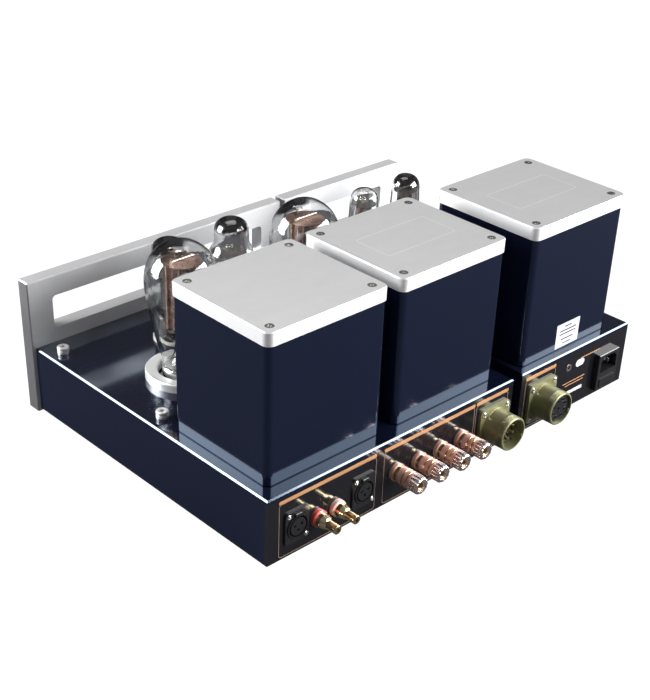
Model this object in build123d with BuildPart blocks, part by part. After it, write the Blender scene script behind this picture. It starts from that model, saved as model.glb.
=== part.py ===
"""Two-chassis valve amplifier: an amplifier unit and its free-standing power supply unit.

Row frame, millimetres: +Z up, the front panels face -Y, the connectors face +Y. Seen from the front
the amplifier is on the right (+X) and the power supply on the left (-X). The origin is the middle of
the bounding box in plan, on the surface that the rubber feet stand on.
"""
import os
from math import cos, radians, sin

from build123d import *

os.makedirs("parts", exist_ok=True)

# ---------------------------------------------------------------- driving dimensions
AMP_WIDTH = 297.5
PSU_WIDTH = 161.5
UNIT_GAP = 12.5
CHASSIS_DEPTH = 325.0
CHASSIS_HEIGHT = 64.0
FOOT_HEIGHT = 10.0

PANEL_THICKNESS = 15.0
PANEL_OVERHANG = 3.4
PANEL_DROP = 3.0
PANEL_RISE = 66.8
WINDOW_MARGIN = 25.5
WINDOW_HEIGHT = 32.5
WINDOW_RISE = 14.2
WINDOW_CORNER = 4.0

TOP_PLATE = 4.0
SIDE_WALL = 2.5
REAR_PANEL = 3.0
BOTTOM_COVER = 1.5
EDGE_BEVEL = 1.2
CORNER_BLOCK = 10.0
BLOCK_HEIGHT = 8.0

REAR_REACH = 31.0
BUTTON_REACH = 3.0
BUTTON_TRAVEL = 3.0

COVER_WIDTH = 127.0
COVER_DEPTH = 117.5
COVER_HEIGHT = 126.5
COVER_WALL = 1.5
COVER_CORNER = 6.0
LID_OVERHANG = 1.0
LID_HEIGHT = 12.0
LID_SCREW_INSET = 9.5
AMP_COVER_INSET = 11.6
AMP_COVER_PITCH = 144.0
AMP_COVER_REAR = 14.0
PSU_COVER_INSET = 7.0
PSU_COVER_REAR = 9.5

OUTPUT_ROW = 199.5
SMALL_ROW = 262.5
DRIVER_INSET = 109.8
DRIVER_PITCH = 73.7
RECTIFIER_PITCH = 61.0
RECEPTACLE_INSET = 15.7
RECEPTACLE_ROWS = (154.5, 303.5)

XLR_INSETS = (31.0, 106.5)
XLR_RISE = 27.8
XLR_SCREW_X = 19.0
XLR_SCREW_Z = 24.0
RCA_INSETS = (54.5, 76.0)
RCA_RISE = 24.5
POST_INSET = 146.5
POST_PITCH = 27.5
POST_COUNT = 4
POST_RISE = 29.5
AMP_CONNECTOR_INSET = 272.0
PSU_CONNECTOR_INSET = 30.5
CONNECTOR_RISE = 27.5
INLET_INSET = 128.5
INLET_RISE = 26.0

FIT = 0.05        # radial room in a sliding or threaded fit
CLEAR = 0.35      # room between pieces that move past each other

# ---------------------------------------------------------------- derived places
TOTAL_WIDTH = AMP_WIDTH + UNIT_GAP + PSU_WIDTH + 2 * PANEL_OVERHANG
AMP_RIGHT = TOTAL_WIDTH / 2 - PANEL_OVERHANG
AMP_LEFT = AMP_RIGHT - AMP_WIDTH
PSU_RIGHT = AMP_LEFT - UNIT_GAP
PSU_LEFT = PSU_RIGHT - PSU_WIDTH
TOTAL_DEPTH = REAR_REACH + CHASSIS_DEPTH + PANEL_THICKNESS + BUTTON_REACH
REAR_Y = TOTAL_DEPTH / 2 - REAR_REACH
FRONT_Y = REAR_Y - CHASSIS_DEPTH
PANEL_FACE_Y = FRONT_Y - PANEL_THICKNESS
BASE_Z = FOOT_HEIGHT
DECK_Z = BASE_Z + CHASSIS_HEIGHT
SHELL_Z = BASE_Z + BOTTOM_COVER
PLATE_Z = DECK_Z - TOP_PLATE
LID_Z = DECK_Z + COVER_HEIGHT

AMP_COVER_XS = tuple(
    AMP_RIGHT - AMP_COVER_INSET - COVER_WIDTH / 2 - index * AMP_COVER_PITCH for index in range(2)
)
AMP_COVER_Y = REAR_Y - AMP_COVER_REAR - COVER_DEPTH / 2
PSU_COVER_X = PSU_RIGHT - PSU_COVER_INSET - LID_OVERHANG - COVER_WIDTH / 2
PSU_COVER_Y = REAR_Y - PSU_COVER_REAR - COVER_DEPTH / 2
OUTPUT_Y = REAR_Y - OUTPUT_ROW
SMALL_Y = REAR_Y - SMALL_ROW
DRIVER_XS = (AMP_RIGHT - DRIVER_INSET, AMP_RIGHT - DRIVER_INSET - DRIVER_PITCH)
PSU_MID_X = (PSU_LEFT + PSU_RIGHT) / 2
RECTIFIER_XS = (PSU_MID_X + RECTIFIER_PITCH / 2, PSU_MID_X - RECTIFIER_PITCH / 2)
RECEPTACLE_PLACES = [
    (x, REAR_Y - row)
    for x in (AMP_RIGHT - RECEPTACLE_INSET, AMP_LEFT + RECEPTACLE_INSET)
    for row in RECEPTACLE_ROWS
]
XLR_XS = tuple(AMP_RIGHT - inset for inset in XLR_INSETS)
XLR_Z = BASE_Z + XLR_RISE
RCA_XS = tuple(AMP_RIGHT - inset for inset in RCA_INSETS)
RCA_Z = BASE_Z + RCA_RISE
POST_XS = tuple(AMP_RIGHT - POST_INSET - index * POST_PITCH for index in range(POST_COUNT))
POST_Z = BASE_Z + POST_RISE
AMP_CONNECTOR_X = AMP_RIGHT - AMP_CONNECTOR_INSET
PSU_CONNECTOR_X = PSU_RIGHT - PSU_CONNECTOR_INSET
CONNECTOR_Z = BASE_Z + CONNECTOR_RISE
INLET_X = PSU_RIGHT - INLET_INSET
INLET_Z = BASE_Z + INLET_RISE


# ---------------------------------------------------------------- shared helpers
def finish(piece, node):
    """Label a finished piece and write it as the node of that name."""
    piece.part.label = node
    export_step(piece.part, f"parts/{node}.step")


def rear_plane(x, z, y=REAR_Y):
    """A plane that faces the rear (+Y) with its local Y axis up."""
    return Plane(origin=(x, y, z), x_dir=(-1, 0, 0), z_dir=(0, 1, 0))


def front_plane(x, z, y=PANEL_FACE_Y):
    """A plane that faces the front (-Y) with its local Y axis up."""
    return Plane(origin=(x, y, z), x_dir=(1, 0, 0), z_dir=(0, -1, 0))


def deck_plane(x, y, z=DECK_Z):
    """A horizontal plane at a place on the top plate."""
    return Plane(origin=(x, y, z))


def turned(plane, outline):
    """A solid of revolution: outline is a closed list of (radius, height) above the plane."""
    side = Plane(origin=plane.origin, x_dir=plane.x_dir, z_dir=-plane.y_dir)
    with BuildPart() as body:
        with BuildSketch(side):
            with BuildLine():
                Polyline(*outline, close=True)
            make_face()
        revolve(axis=Axis(plane.origin, plane.z_dir))
    return body.part


# ---------------------------------------------------------------- screws
SCREW_SHANK = 1.45
LID_SHANK = 1.9
LID_HEAD = 3.9
CROSS_WIDTH = 0.9
CROSS_DEPTH = 1.1


def cross_recess(plane, reach):
    """The cutter for a cross-head recess at the origin of the plane, cutting down from it."""
    with BuildPart() as cutter:
        with BuildSketch(plane):
            Rectangle(2 * reach, CROSS_WIDTH)
            Rectangle(CROSS_WIDTH, 2 * reach)
        extrude(amount=-CROSS_DEPTH)
    return cutter.part


def countersunk_screw(plane, length):
    """A countersunk cross-head screw whose head is flush with the plane."""
    neck = LID_SHANK - LID_HEAD
    outline = [(0, 0), (LID_HEAD, 0), (LID_SHANK, neck), (LID_SHANK, -length), (0, -length)]
    return turned(plane, outline) - cross_recess(plane, 2.1)


def pan_screw(plane, length, head=2.8, height=1.7):
    """A pan-head cross-head screw that stands on the plane."""
    outline = [
        (0, height), (head * 0.7, height), (head, height * 0.4), (head, 0), (SCREW_SHANK, 0),
        (SCREW_SHANK, -length), (0, -length),
    ]
    seat = Plane(origin=plane.origin + plane.z_dir * height, x_dir=plane.x_dir, z_dir=plane.z_dir)
    return turned(plane, outline) - cross_recess(seat, head * 0.6)


def corner_places(width, depth, inset):
    """The four corner points of a rectangle, inset from its edges."""
    half_x = width / 2 - inset
    half_y = depth / 2 - inset
    return [(x, y) for x in (-half_x, half_x) for y in (-half_y, half_y)]


def lid_screws(x, y):
    """The four countersunk screws of one cover lid."""
    places = corner_places(COVER_WIDTH, COVER_DEPTH, LID_SCREW_INSET)
    return [countersunk_screw(deck_plane(x + dx, y + dy, LID_Z + LID_HEIGHT), 20.0) for dx, dy in places]


def floor_plane(x, y):
    """A plane on the underside of the bottom cover, facing down."""
    return Plane(origin=(x, y, BASE_Z), x_dir=(1, 0, 0), z_dir=(0, 0, -1))


BLOCK_CENTRE = SIDE_WALL + CORNER_BLOCK / 2


def block_places(left, right):
    """The centres of the four blocks in the bottom corners of a chassis."""
    ys = (FRONT_Y + BLOCK_CENTRE, REAR_Y - REAR_PANEL - CORNER_BLOCK / 2)
    return [(x, y) for x in (left + BLOCK_CENTRE, right - BLOCK_CENTRE) for y in ys]


# ---------------------------------------------------------------- chassis of either unit
TAP_RADIUS = SCREW_SHANK + FIT
LEAD_SLOT = (50.0, 12.0, 5.0)     # width, depth and corner of the lead-out slot below each cover


def chassis_shell(left, right, deck_holes, cover_places):
    """Top plate, sides and front wall in one shell: open below and at the rear.

    deck_holes is a list of (x, y, radius); cover_places lists the middles of the transformer covers.
    """
    width = right - left
    middle = (left + right) / 2
    wall_depth = CHASSIS_DEPTH - REAR_PANEL
    wall_y = FRONT_Y + wall_depth / 2
    with BuildPart() as shell:
        with BuildSketch(Plane.XY.offset(SHELL_Z)):
            with Locations((middle, wall_y)):
                Rectangle(width, wall_depth)
            with Locations((middle, wall_y + SIDE_WALL / 2)):
                Rectangle(width - 2 * SIDE_WALL, wall_depth - SIDE_WALL, mode=Mode.SUBTRACT)
        extrude(amount=PLATE_Z - SHELL_Z)
        with BuildSketch(Plane.XY.offset(PLATE_Z)):
            with Locations((middle, FRONT_Y + CHASSIS_DEPTH / 2)):
                Rectangle(width, CHASSIS_DEPTH)
        extrude(amount=TOP_PLATE)
        rims = shell.edges().group_by(Axis.Z)[-1]
        chamfer([edge for edge in rims if edge.center().Y > FRONT_Y + 1], EDGE_BEVEL)
        with BuildSketch(Plane.XY.offset(SHELL_Z)):
            with Locations(*block_places(left, right)):
                Rectangle(CORNER_BLOCK, CORNER_BLOCK)
        extrude(amount=BLOCK_HEIGHT)
        with BuildSketch(Plane.XY.offset(SHELL_Z)):
            with Locations(*block_places(left, right)):
                Circle(TAP_RADIUS)
        extrude(amount=BLOCK_HEIGHT, mode=Mode.SUBTRACT)
        for x, y, radius in deck_holes:
            with BuildSketch(deck_plane(x, y)):
                Circle(radius)
            extrude(amount=-TOP_PLATE, mode=Mode.SUBTRACT)
        for x, y in cover_places:
            with BuildSketch(deck_plane(x, y)):
                RectangleRounded(*LEAD_SLOT)
            extrude(amount=-TOP_PLATE, mode=Mode.SUBTRACT)
    return shell


def bottom_cover(left, right, feet):
    """The sheet that closes a chassis from below, with screw holes at the corners and the feet."""
    width = right - left
    with BuildPart() as cover:
        with BuildSketch(Plane.XY.offset(BASE_Z)):
            with Locations(((left + right) / 2, FRONT_Y + CHASSIS_DEPTH / 2)):
                Rectangle(width, CHASSIS_DEPTH)
            with Locations(*block_places(left, right), *feet):
                Circle(TAP_RADIUS, mode=Mode.SUBTRACT)
        extrude(amount=BOTTOM_COVER)
    return cover


FOOT_RADIUS = 12.0
FOOT_INSET = 42.0
FOOT_RECESS = 4.0         # how far up the recess for the foot's screw reaches


def foot_places(left, right):
    """Where the feet stand: inset from all four sides."""
    ys = (FRONT_Y + FOOT_INSET, REAR_Y - FOOT_INSET)
    return [(x, y) for x in (left + FOOT_INSET, right - FOOT_INSET) for y in ys]


def rubber_feet(left, right):
    """Four turned rubber feet, each with a recess for its screw."""
    outline = [
        (2.0, 0), (2.0, FOOT_RECESS), (5.0, FOOT_RECESS), (5.0, FOOT_HEIGHT),
        (FOOT_RADIUS - 2.5, FOOT_HEIGHT),
        (FOOT_RADIUS - 1.2, FOOT_HEIGHT - 1.0), (FOOT_RADIUS, 0),
    ]
    with BuildPart() as feet:
        for x, y in foot_places(left, right):
            add(turned(floor_plane(x, y), outline))
    return feet


def chassis_screws(left, right):
    """The screws of one unit's bottom cover and feet."""
    corners = [pan_screw(floor_plane(x, y), 9.0) for x, y in block_places(left, right)]
    feet = [
        pan_screw(Plane(origin=(x, y, BASE_Z - FOOT_RECESS), x_dir=(1, 0, 0), z_dir=(0, 0, -1)), 8.0)
        for x, y in foot_places(left, right)
    ]
    return corners + feet


def front_panel(left, right):
    """A thick brushed panel with one long window to see the valves through."""
    width = right - left + 2 * PANEL_OVERHANG
    height = PANEL_DROP + CHASSIS_HEIGHT + PANEL_RISE
    middle_x = (left + right) / 2
    middle_z = BASE_Z - PANEL_DROP + height / 2
    window_z = DECK_Z + WINDOW_RISE + WINDOW_HEIGHT / 2
    with BuildPart() as panel:
        with BuildSketch(front_plane(middle_x, middle_z)):
            Rectangle(width, height)
        extrude(amount=-PANEL_THICKNESS)
        chamfer(panel.edges(), 0.8)
        with BuildSketch(front_plane(middle_x, window_z)):
            RectangleRounded(width - 2 * WINDOW_MARGIN, WINDOW_HEIGHT, WINDOW_CORNER)
        extrude(amount=-PANEL_THICKNESS, mode=Mode.SUBTRACT)
    return panel


# ---------------------------------------------------------------- transformer covers and lids
def cover_shell(x, y):
    """One deep drawn cover: rounded upright corners, open above and below, with four tapped pillars."""
    pillars = corner_places(COVER_WIDTH, COVER_DEPTH, LID_SCREW_INSET)
    with BuildPart() as shell:
        with BuildSketch(deck_plane(x, y)):
            RectangleRounded(COVER_WIDTH, COVER_DEPTH, COVER_CORNER)
            RectangleRounded(
                COVER_WIDTH - 2 * COVER_WALL, COVER_DEPTH - 2 * COVER_WALL, COVER_CORNER - COVER_WALL,
                mode=Mode.SUBTRACT,
            )
        extrude(amount=COVER_HEIGHT)
        with BuildSketch(deck_plane(x, y)):
            with Locations(*pillars):
                Rectangle(2 * LID_SCREW_INSET - 3, 2 * LID_SCREW_INSET - 3)
            RectangleRounded(COVER_WIDTH, COVER_DEPTH, COVER_CORNER, mode=Mode.INTERSECT)
        extrude(amount=COVER_HEIGHT)
        with BuildSketch(deck_plane(x, y, LID_Z)):
            with Locations(*pillars):
                Circle(LID_SHANK + FIT)
        extrude(amount=-25.0, mode=Mode.SUBTRACT)
    return shell.part


def cover_lid(x, y):
    """One thick blasted lid, hollow below, with four countersunk holes."""
    width = COVER_WIDTH + 2 * LID_OVERHANG
    depth = COVER_DEPTH + 2 * LID_OVERHANG
    corner = COVER_CORNER + LID_OVERHANG
    places = corner_places(COVER_WIDTH, COVER_DEPTH, LID_SCREW_INSET)
    with BuildPart() as lid:
        with BuildSketch(deck_plane(x, y, LID_Z)):
            RectangleRounded(width, depth, corner)
        extrude(amount=LID_HEIGHT)
        chamfer(lid.faces().sort_by(Axis.Z)[-1].edges(), 0.7)
        with BuildSketch(deck_plane(x, y, LID_Z)):
            Rectangle(width - 44.0, depth - 12.0)
            Rectangle(width - 12.0, depth - 44.0)
        extrude(amount=LID_HEIGHT - 4.0, mode=Mode.SUBTRACT)
        with Locations(*[deck_plane(x + dx, y + dy, LID_Z + LID_HEIGHT) for dx, dy in places]):
            CounterSinkHole(LID_SHANK + FIT, LID_HEAD + 0.1, LID_HEIGHT, counter_sink_angle=90)
    return lid.part


# ---------------------------------------------------------------- transformers and choke
def laminated_core(x, y, base, width, height, stack):
    """An E-I lamination stack standing on its edge, with its two windows facing the rear."""
    leg = width / 6
    with BuildPart() as core:
        with BuildSketch(rear_plane(x, base + height / 2, y + stack / 2)):
            Rectangle(width, height)
            with Locations((-width / 4, 0), (width / 4, 0)):
                Rectangle(leg, height - 2 * leg, mode=Mode.SUBTRACT)
        extrude(amount=-stack)
    return core.part


def coil(x, y, base, width, height, stack):
    """The winding round the middle leg of such a core."""
    leg = width / 6
    with BuildPart() as winding:
        with BuildSketch(Plane(origin=(x, y, base + leg + 0.5))):
            RectangleRounded(4 * leg - 1.0, stack + 2 * leg - 2.0, 5.0)
            Rectangle(2 * leg + 0.6, stack + 0.6, mode=Mode.SUBTRACT)
        extrude(amount=height - 2 * leg - 1.0)
    return winding.part


# ---------------------------------------------------------------- valves and their sockets
GLASS = 1.0
OUTPUT_SEAT = -16.0
OUTPUT_BASE_RADIUS = 20.0
OUTPUT_BASE_TOP = 12.0
OUTPUT_PIN_CIRCLE = 8.2
OUTPUT_PIN_RADIUS = 2.0
OCTAL_SEAT = 3.0
OCTAL_BASE_RADIUS = 16.5
OCTAL_PIN_CIRCLE = 8.75
OCTAL_PIN_RADIUS = 1.2
OCTAL_SPIGOT_RADIUS = 3.9
PIN_LENGTH = 12.0
SPIGOT_LENGTH = 14.0
DRIVER_BASE_TOP = 26.0
RECTIFIER_BASE_TOP = 28.0
COLLAR_RADIUS = 35.0
COLLAR_BORE = 24.0
COLLAR_HEIGHT = 8.0

# Glass outlines as (radius, height above the top plate), from the base to the crown.
OUTPUT_BULB = [
    (19.0, 12.0), (20.6, 22.0), (24.2, 38.0), (28.7, 60.0), (32.0, 80.0), (32.8, 93.0), (30.9, 107.0),
    (24.6, 119.0), (13.5, 127.5), (0, 130.0),
]
DRIVER_BULB = [
    (15.2, 26.0), (17.6, 34.0), (20.8, 48.0), (22.2, 61.0), (20.9, 69.0), (17.6, 75.5), (16.8, 82.0),
    (16.6, 90.0), (13.2, 97.0), (6.5, 100.6), (0, 101.4),
]
RECTIFIER_BULB = [(14.2, 28.0), (14.8, 34.0), (14.8, 70.0), (13.4, 78.5), (8.4, 83.8), (0, 85.3)]


def inward(outline, wall):
    """The same outline moved inward by the wall thickness, square to the curve at each point."""
    inner = []
    for index, (radius, height) in enumerate(outline):
        before = outline[max(index - 1, 0)]
        after = outline[min(index + 1, len(outline) - 1)]
        run = Vector(after[0] - before[0], after[1] - before[1]).normalized()
        if index == 0:
            run = Vector(0, 1)
        if index == len(outline) - 1:
            run = Vector(-1, 0)
        inner.append((radius - run.Y * wall, height + run.X * wall))
    inner[-1] = (0, outline[-1][1] - wall)
    return inner


def blown(place, outline):
    """A solid turned from a smooth glass outline."""
    side = Plane(origin=place.origin, x_dir=(1, 0, 0), z_dir=(0, -1, 0))
    first = outline[0]
    last = outline[-1]
    with BuildPart() as body:
        with BuildSketch(side):
            with BuildLine():
                Spline(*outline, tangents=[(0, 1), (-1, 0)])
                Polyline(last, (0, first[1]), first)
            make_face()
        revolve(axis=Axis(place.origin, (0, 0, 1)))
    return body.part


def envelope(x, y, outline):
    """A hollow glass envelope, open where it meets the base."""
    place = deck_plane(x, y)
    with BuildPart() as glass:
        add(blown(place, outline))
        add(blown(place, inward(outline, GLASS)), mode=Mode.SUBTRACT)
    return glass


def pins(x, y, seat, places, radius, length):
    """Round-ended contact pins that hang below the seat."""
    outline = [(0, 0), (radius, 0), (radius, -length + 0.6), (radius - 0.6, -length), (0, -length)]
    return [turned(deck_plane(x + dx, y + dy, DECK_Z + seat), outline) for dx, dy in places]


def ring_places(count, radius, start=0.0):
    """Evenly spaced points on a circle, from a start angle in degrees."""
    angles = [radians(start + 360 * index / count) for index in range(count)]
    return [(radius * cos(angle), radius * sin(angle)) for angle in angles]


def plate_frame(x, y, bottom, top, half_width, half_depth, mica):
    """The electrode cage: flat anode sides, two mica discs and four support rods, in one piece."""
    post_x = half_width + 2.5
    with BuildPart() as cage:
        with BuildSketch(deck_plane(x, y, DECK_Z + bottom)):
            RectangleRounded(2 * half_width, 2 * half_depth, half_depth * 0.6)
            RectangleRounded(
                2 * half_width - 1.6, 2 * half_depth - 1.6, half_depth * 0.6 - 0.8, mode=Mode.SUBTRACT
            )
        extrude(amount=top - bottom)
        for level in (bottom - 1.0, top):
            with BuildSketch(deck_plane(x, y, DECK_Z + level)):
                Circle(mica)
            extrude(amount=1.0)
        with BuildSketch(deck_plane(x, y, DECK_Z + bottom)):
            with Locations((post_x, 0), (-post_x, 0)):
                Circle(0.9)
        extrude(amount=top - bottom)
    return cage.part


def stem_wires(x, y, low, high, spread):
    """The glass press with its lead wires, which carries the cage from the base."""
    middle = (low + high) / 2
    outline = [(0, low), (spread, low), (spread * 0.55, middle), (spread * 0.45, high), (0, high)]
    return turned(deck_plane(x, y), outline)


def output_base(x, y):
    """The four-pin base of an output valve, with its pins, press and electrode cage."""
    low = OUTPUT_SEAT
    outline = [
        (0, low), (OUTPUT_BASE_RADIUS - 0.8, low), (OUTPUT_BASE_RADIUS, low + 0.8),
        (OUTPUT_BASE_RADIUS, OUTPUT_BASE_TOP - 1.5), (OUTPUT_BASE_RADIUS - 1.0, OUTPUT_BASE_TOP),
        (0, OUTPUT_BASE_TOP),
    ]
    places = ring_places(4, OUTPUT_PIN_CIRCLE, 45)
    with BuildPart() as base:
        add(turned(deck_plane(x, y), outline))
        for pin in pins(x, y, low, places, OUTPUT_PIN_RADIUS, PIN_LENGTH):
            add(pin)
        add(stem_wires(x, y, OUTPUT_BASE_TOP, 43.0, 11.0))
        add(plate_frame(x, y, 44.0, 98.0, 17.0, 8.0, 21.0))
    return base


def octal_base(x, y, top, cage_low, cage_high, half_width, half_depth, mica):
    """An eight-pin base with its locating spigot, pins, press and electrode cage."""
    low = OCTAL_SEAT
    outline = [
        (0, low), (OCTAL_BASE_RADIUS - 0.8, low), (OCTAL_BASE_RADIUS, low + 0.8),
        (OCTAL_BASE_RADIUS, top - 1.2), (OCTAL_BASE_RADIUS - 1.0, top), (0, top),
    ]
    places = ring_places(8, OCTAL_PIN_CIRCLE, 22.5)
    with BuildPart() as base:
        add(turned(deck_plane(x, y), outline))
        for pin in pins(x, y, low, places, OCTAL_PIN_RADIUS, PIN_LENGTH):
            add(pin)
        for spigot in pins(x, y, low, [(0, 0)], OCTAL_SPIGOT_RADIUS, SPIGOT_LENGTH):
            add(spigot)
        add(stem_wires(x, y, top, cage_low - 1.0, 7.0))
        add(plate_frame(x, y, cage_low, cage_high, half_width, half_depth, mica))
    return base


def output_socket(x, y):
    """A sunk ceramic cup under the top plate, with four contact holes."""
    low = OUTPUT_SEAT
    rim = COLLAR_BORE + 2.5
    outline = [
        (0, low), (COLLAR_BORE, low), (COLLAR_BORE, -TOP_PLATE), (rim, -TOP_PLATE), (rim, low - 10.0),
        (0, low - 10.0),
    ]
    with BuildPart() as socket:
        add(turned(deck_plane(x, y), outline))
        with BuildSketch(deck_plane(x, y, DECK_Z + low)):
            with Locations(*ring_places(4, OUTPUT_PIN_CIRCLE, 45)):
                Circle(OUTPUT_PIN_RADIUS + CLEAR)
        extrude(amount=-10.0, mode=Mode.SUBTRACT)
    return socket.part


OCTAL_SOCKET_RADIUS = 17.5
OCTAL_FLANGE_RADIUS = 21.0


def octal_socket(x, y):
    """A ceramic octal socket held under the top plate, its face a little proud of it."""
    outline = [
        (0, OCTAL_SEAT), (OCTAL_SOCKET_RADIUS, OCTAL_SEAT), (OCTAL_SOCKET_RADIUS, -TOP_PLATE),
        (OCTAL_FLANGE_RADIUS, -TOP_PLATE), (OCTAL_FLANGE_RADIUS, -TOP_PLATE - 3.0),
        (14.0, -TOP_PLATE - 3.0), (14.0, -13.0), (0, -13.0),
    ]
    with BuildPart() as socket:
        add(turned(deck_plane(x, y), outline))
        with BuildSketch(deck_plane(x, y, DECK_Z + OCTAL_SEAT)):
            with Locations(*ring_places(8, OCTAL_PIN_CIRCLE, 22.5)):
                Circle(OCTAL_PIN_RADIUS + CLEAR)
            Circle(OCTAL_SPIGOT_RADIUS + CLEAR)
        extrude(amount=-16.0, mode=Mode.SUBTRACT)
    return socket.part


def collar(x, y):
    """The bright turned ring that surrounds the base of an output valve."""
    outline = [
        (COLLAR_BORE, 0), (COLLAR_RADIUS, 0), (COLLAR_RADIUS, COLLAR_HEIGHT - 0.8),
        (COLLAR_RADIUS - 0.8, COLLAR_HEIGHT), (COLLAR_BORE + 1.2, COLLAR_HEIGHT),
        (COLLAR_BORE, COLLAR_HEIGHT - 1.2),
    ]
    return turned(deck_plane(x, y), outline)


RECEPTACLE_RADIUS = 5.5
RECEPTACLE_HEIGHT = 6.0
RECEPTACLE_BORE = 2.05
RECEPTACLE_NECK = 3.4


def receptacle(x, y):
    """A turned receptacle for a foot of the valve cage: grooved head, neck through the plate, bore."""
    head = RECEPTACLE_RADIUS
    top = RECEPTACLE_HEIGHT
    outline = [
        (RECEPTACLE_BORE, top), (head - 0.5, top), (head, top - 0.5), (head, 3.8), (head - 0.7, 3.5),
        (head - 0.7, 2.6), (head, 2.3), (head, 0), (RECEPTACLE_NECK, 0), (RECEPTACLE_NECK, -10.0),
        (RECEPTACLE_BORE, -10.0),
    ]
    return turned(deck_plane(x, y), outline)


# ---------------------------------------------------------------- rear panel fittings
XLR_BODY_RADIUS = 11.9
XLR_FLANGE_X = 26.0
XLR_FLANGE_Z = 31.0
XLR_FLANGE = 2.0
XLR_DEPTH = 21.0
XLR_CUP_RADIUS = 9.9
XLR_CUP_DEPTH = 14.0
XLR_INSERT_RADIUS = 8.3
XLR_LATCH_RISE = 11.5
XLR_LATCH_X = 7.0
XLR_LATCH_Z = 3.2
XLR_LATCH_LENGTH = 5.0
XLR_LATCH_STAND = 0.6
RCA_HOLE = 5.0
RCA_BORE = 1.65
RCA_BORE_DEPTH = 14.0
POST_HOLE = 5.5
POST_RADIUS = 8.5
POST_STEM_RADIUS = 3.4
POST_SEAT = 6.0
POST_TIP = 29.0
POST_WASHER = 1.6
BANANA_RADIUS = 2.05
BANANA_DEPTH = 22.0
CONNECTOR_FLANGE = 40.0
CONNECTOR_FLANGE_T = 3.0
CONNECTOR_SCREW = 31.6
CONNECTOR_RADIUS = 16.5
CONNECTOR_BORE = 14.5
CONNECTOR_REACH = 26.0
CONNECTOR_TAIL = 14.0
CONNECTOR_PINS = 9
INLET_WIDTH = 32.0
INLET_HEIGHT = 39.0
INLET_STAND = 6.0
INLET_DEPTH = 26.0
INLET_CAVITY_WIDTH = 24.6
INLET_CAVITY_HEIGHT = 16.4
INLET_CAVITY_DEPTH = 17.0
INLET_CAVITY_RISE = 8.0
DRAWER_WIDTH = 23.0
DRAWER_HEIGHT = 9.0
DRAWER_RISE = -12.0
DRAWER_DEPTH = 24.0
DRAWER_FLOOR = 1.2
FUSE_RADIUS = 2.6
FUSE_LENGTH = 20.0


def rear_sheet(left, right):
    """A rear panel before its holes are cut: full width, below the lip of the top plate."""
    height = PLATE_Z - SHELL_Z
    with BuildPart() as sheet:
        with BuildSketch(rear_plane((left + right) / 2, SHELL_Z + height / 2)):
            Rectangle(right - left, height)
        extrude(amount=-REAR_PANEL)
    return sheet


def connector_screw_places():
    """The four flange screws of a circular connector, from its centre."""
    half = CONNECTOR_SCREW / 2
    return [(x, z) for x in (-half, half) for z in (-half, half)]


def xlr_screw_places():
    """The two opposite flange screws of an XLR socket, from its centre."""
    return [(-XLR_SCREW_X / 2, XLR_SCREW_Z / 2), (XLR_SCREW_X / 2, -XLR_SCREW_Z / 2)]


def xlr_socket(x):
    """A three-pole female socket: flange, barrel with its ring groove, latch slot and contact holes."""
    face = REAR_Y + XLR_FLANGE + 1.2
    with BuildPart() as socket:
        with BuildSketch(rear_plane(x, XLR_Z)):
            RectangleRounded(XLR_FLANGE_X, XLR_FLANGE_Z, 3.0)
        extrude(amount=XLR_FLANGE)
        with BuildSketch(rear_plane(x, XLR_Z)):
            Circle(XLR_BODY_RADIUS - 0.9)
        extrude(amount=XLR_FLANGE + 1.2)
        with BuildSketch(rear_plane(x, XLR_Z)):
            Circle(XLR_BODY_RADIUS)
        extrude(amount=-XLR_DEPTH)
        with BuildSketch(rear_plane(x, XLR_Z, face)):
            Circle(XLR_CUP_RADIUS)
            Circle(XLR_INSERT_RADIUS, mode=Mode.SUBTRACT)
        extrude(amount=-XLR_CUP_DEPTH, mode=Mode.SUBTRACT)
        with BuildSketch(rear_plane(x, XLR_Z, face)):
            with Locations((-3.7, 1.6), (3.7, 1.6), (0, -3.2)):
                Circle(1.35)
        extrude(amount=-12.0, mode=Mode.SUBTRACT)
        with BuildSketch(rear_plane(x, XLR_Z, face)):
            with Locations((0, XLR_LATCH_RISE)):
                Rectangle(XLR_LATCH_X + 2 * CLEAR, XLR_LATCH_Z + 2 * CLEAR)
        extrude(amount=-9.0, mode=Mode.SUBTRACT)
        with BuildSketch(rear_plane(x, XLR_Z, REAR_Y + XLR_FLANGE)):
            with Locations(*xlr_screw_places()):
                Circle(TAP_RADIUS)
        extrude(amount=-XLR_FLANGE, mode=Mode.SUBTRACT)
    return socket.part


def xlr_latch(x):
    """The push tab above an XLR socket, which frees the plug."""
    face = REAR_Y + XLR_FLANGE + 1.2 + XLR_LATCH_STAND
    with BuildPart() as latch:
        with BuildSketch(rear_plane(x, XLR_Z + XLR_LATCH_RISE, face)):
            RectangleRounded(XLR_LATCH_X, XLR_LATCH_Z, 0.6)
        extrude(amount=-XLR_LATCH_LENGTH)
        chamfer(latch.faces().sort_by(Axis.Y)[-1].edges(), 0.3)
    return latch


def rca_insulator(x):
    """The coloured collar of a phono jack: a flange outside and a bush through the panel."""
    outline = [
        (4.0, 5.0), (6.6, 5.0), (7.8, 3.8), (7.8, 0), (RCA_HOLE - 0.2, 0), (RCA_HOLE - 0.2, -REAR_PANEL),
        (4.0, -REAR_PANEL),
    ]
    return turned(rear_plane(x, RCA_Z), outline)


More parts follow.
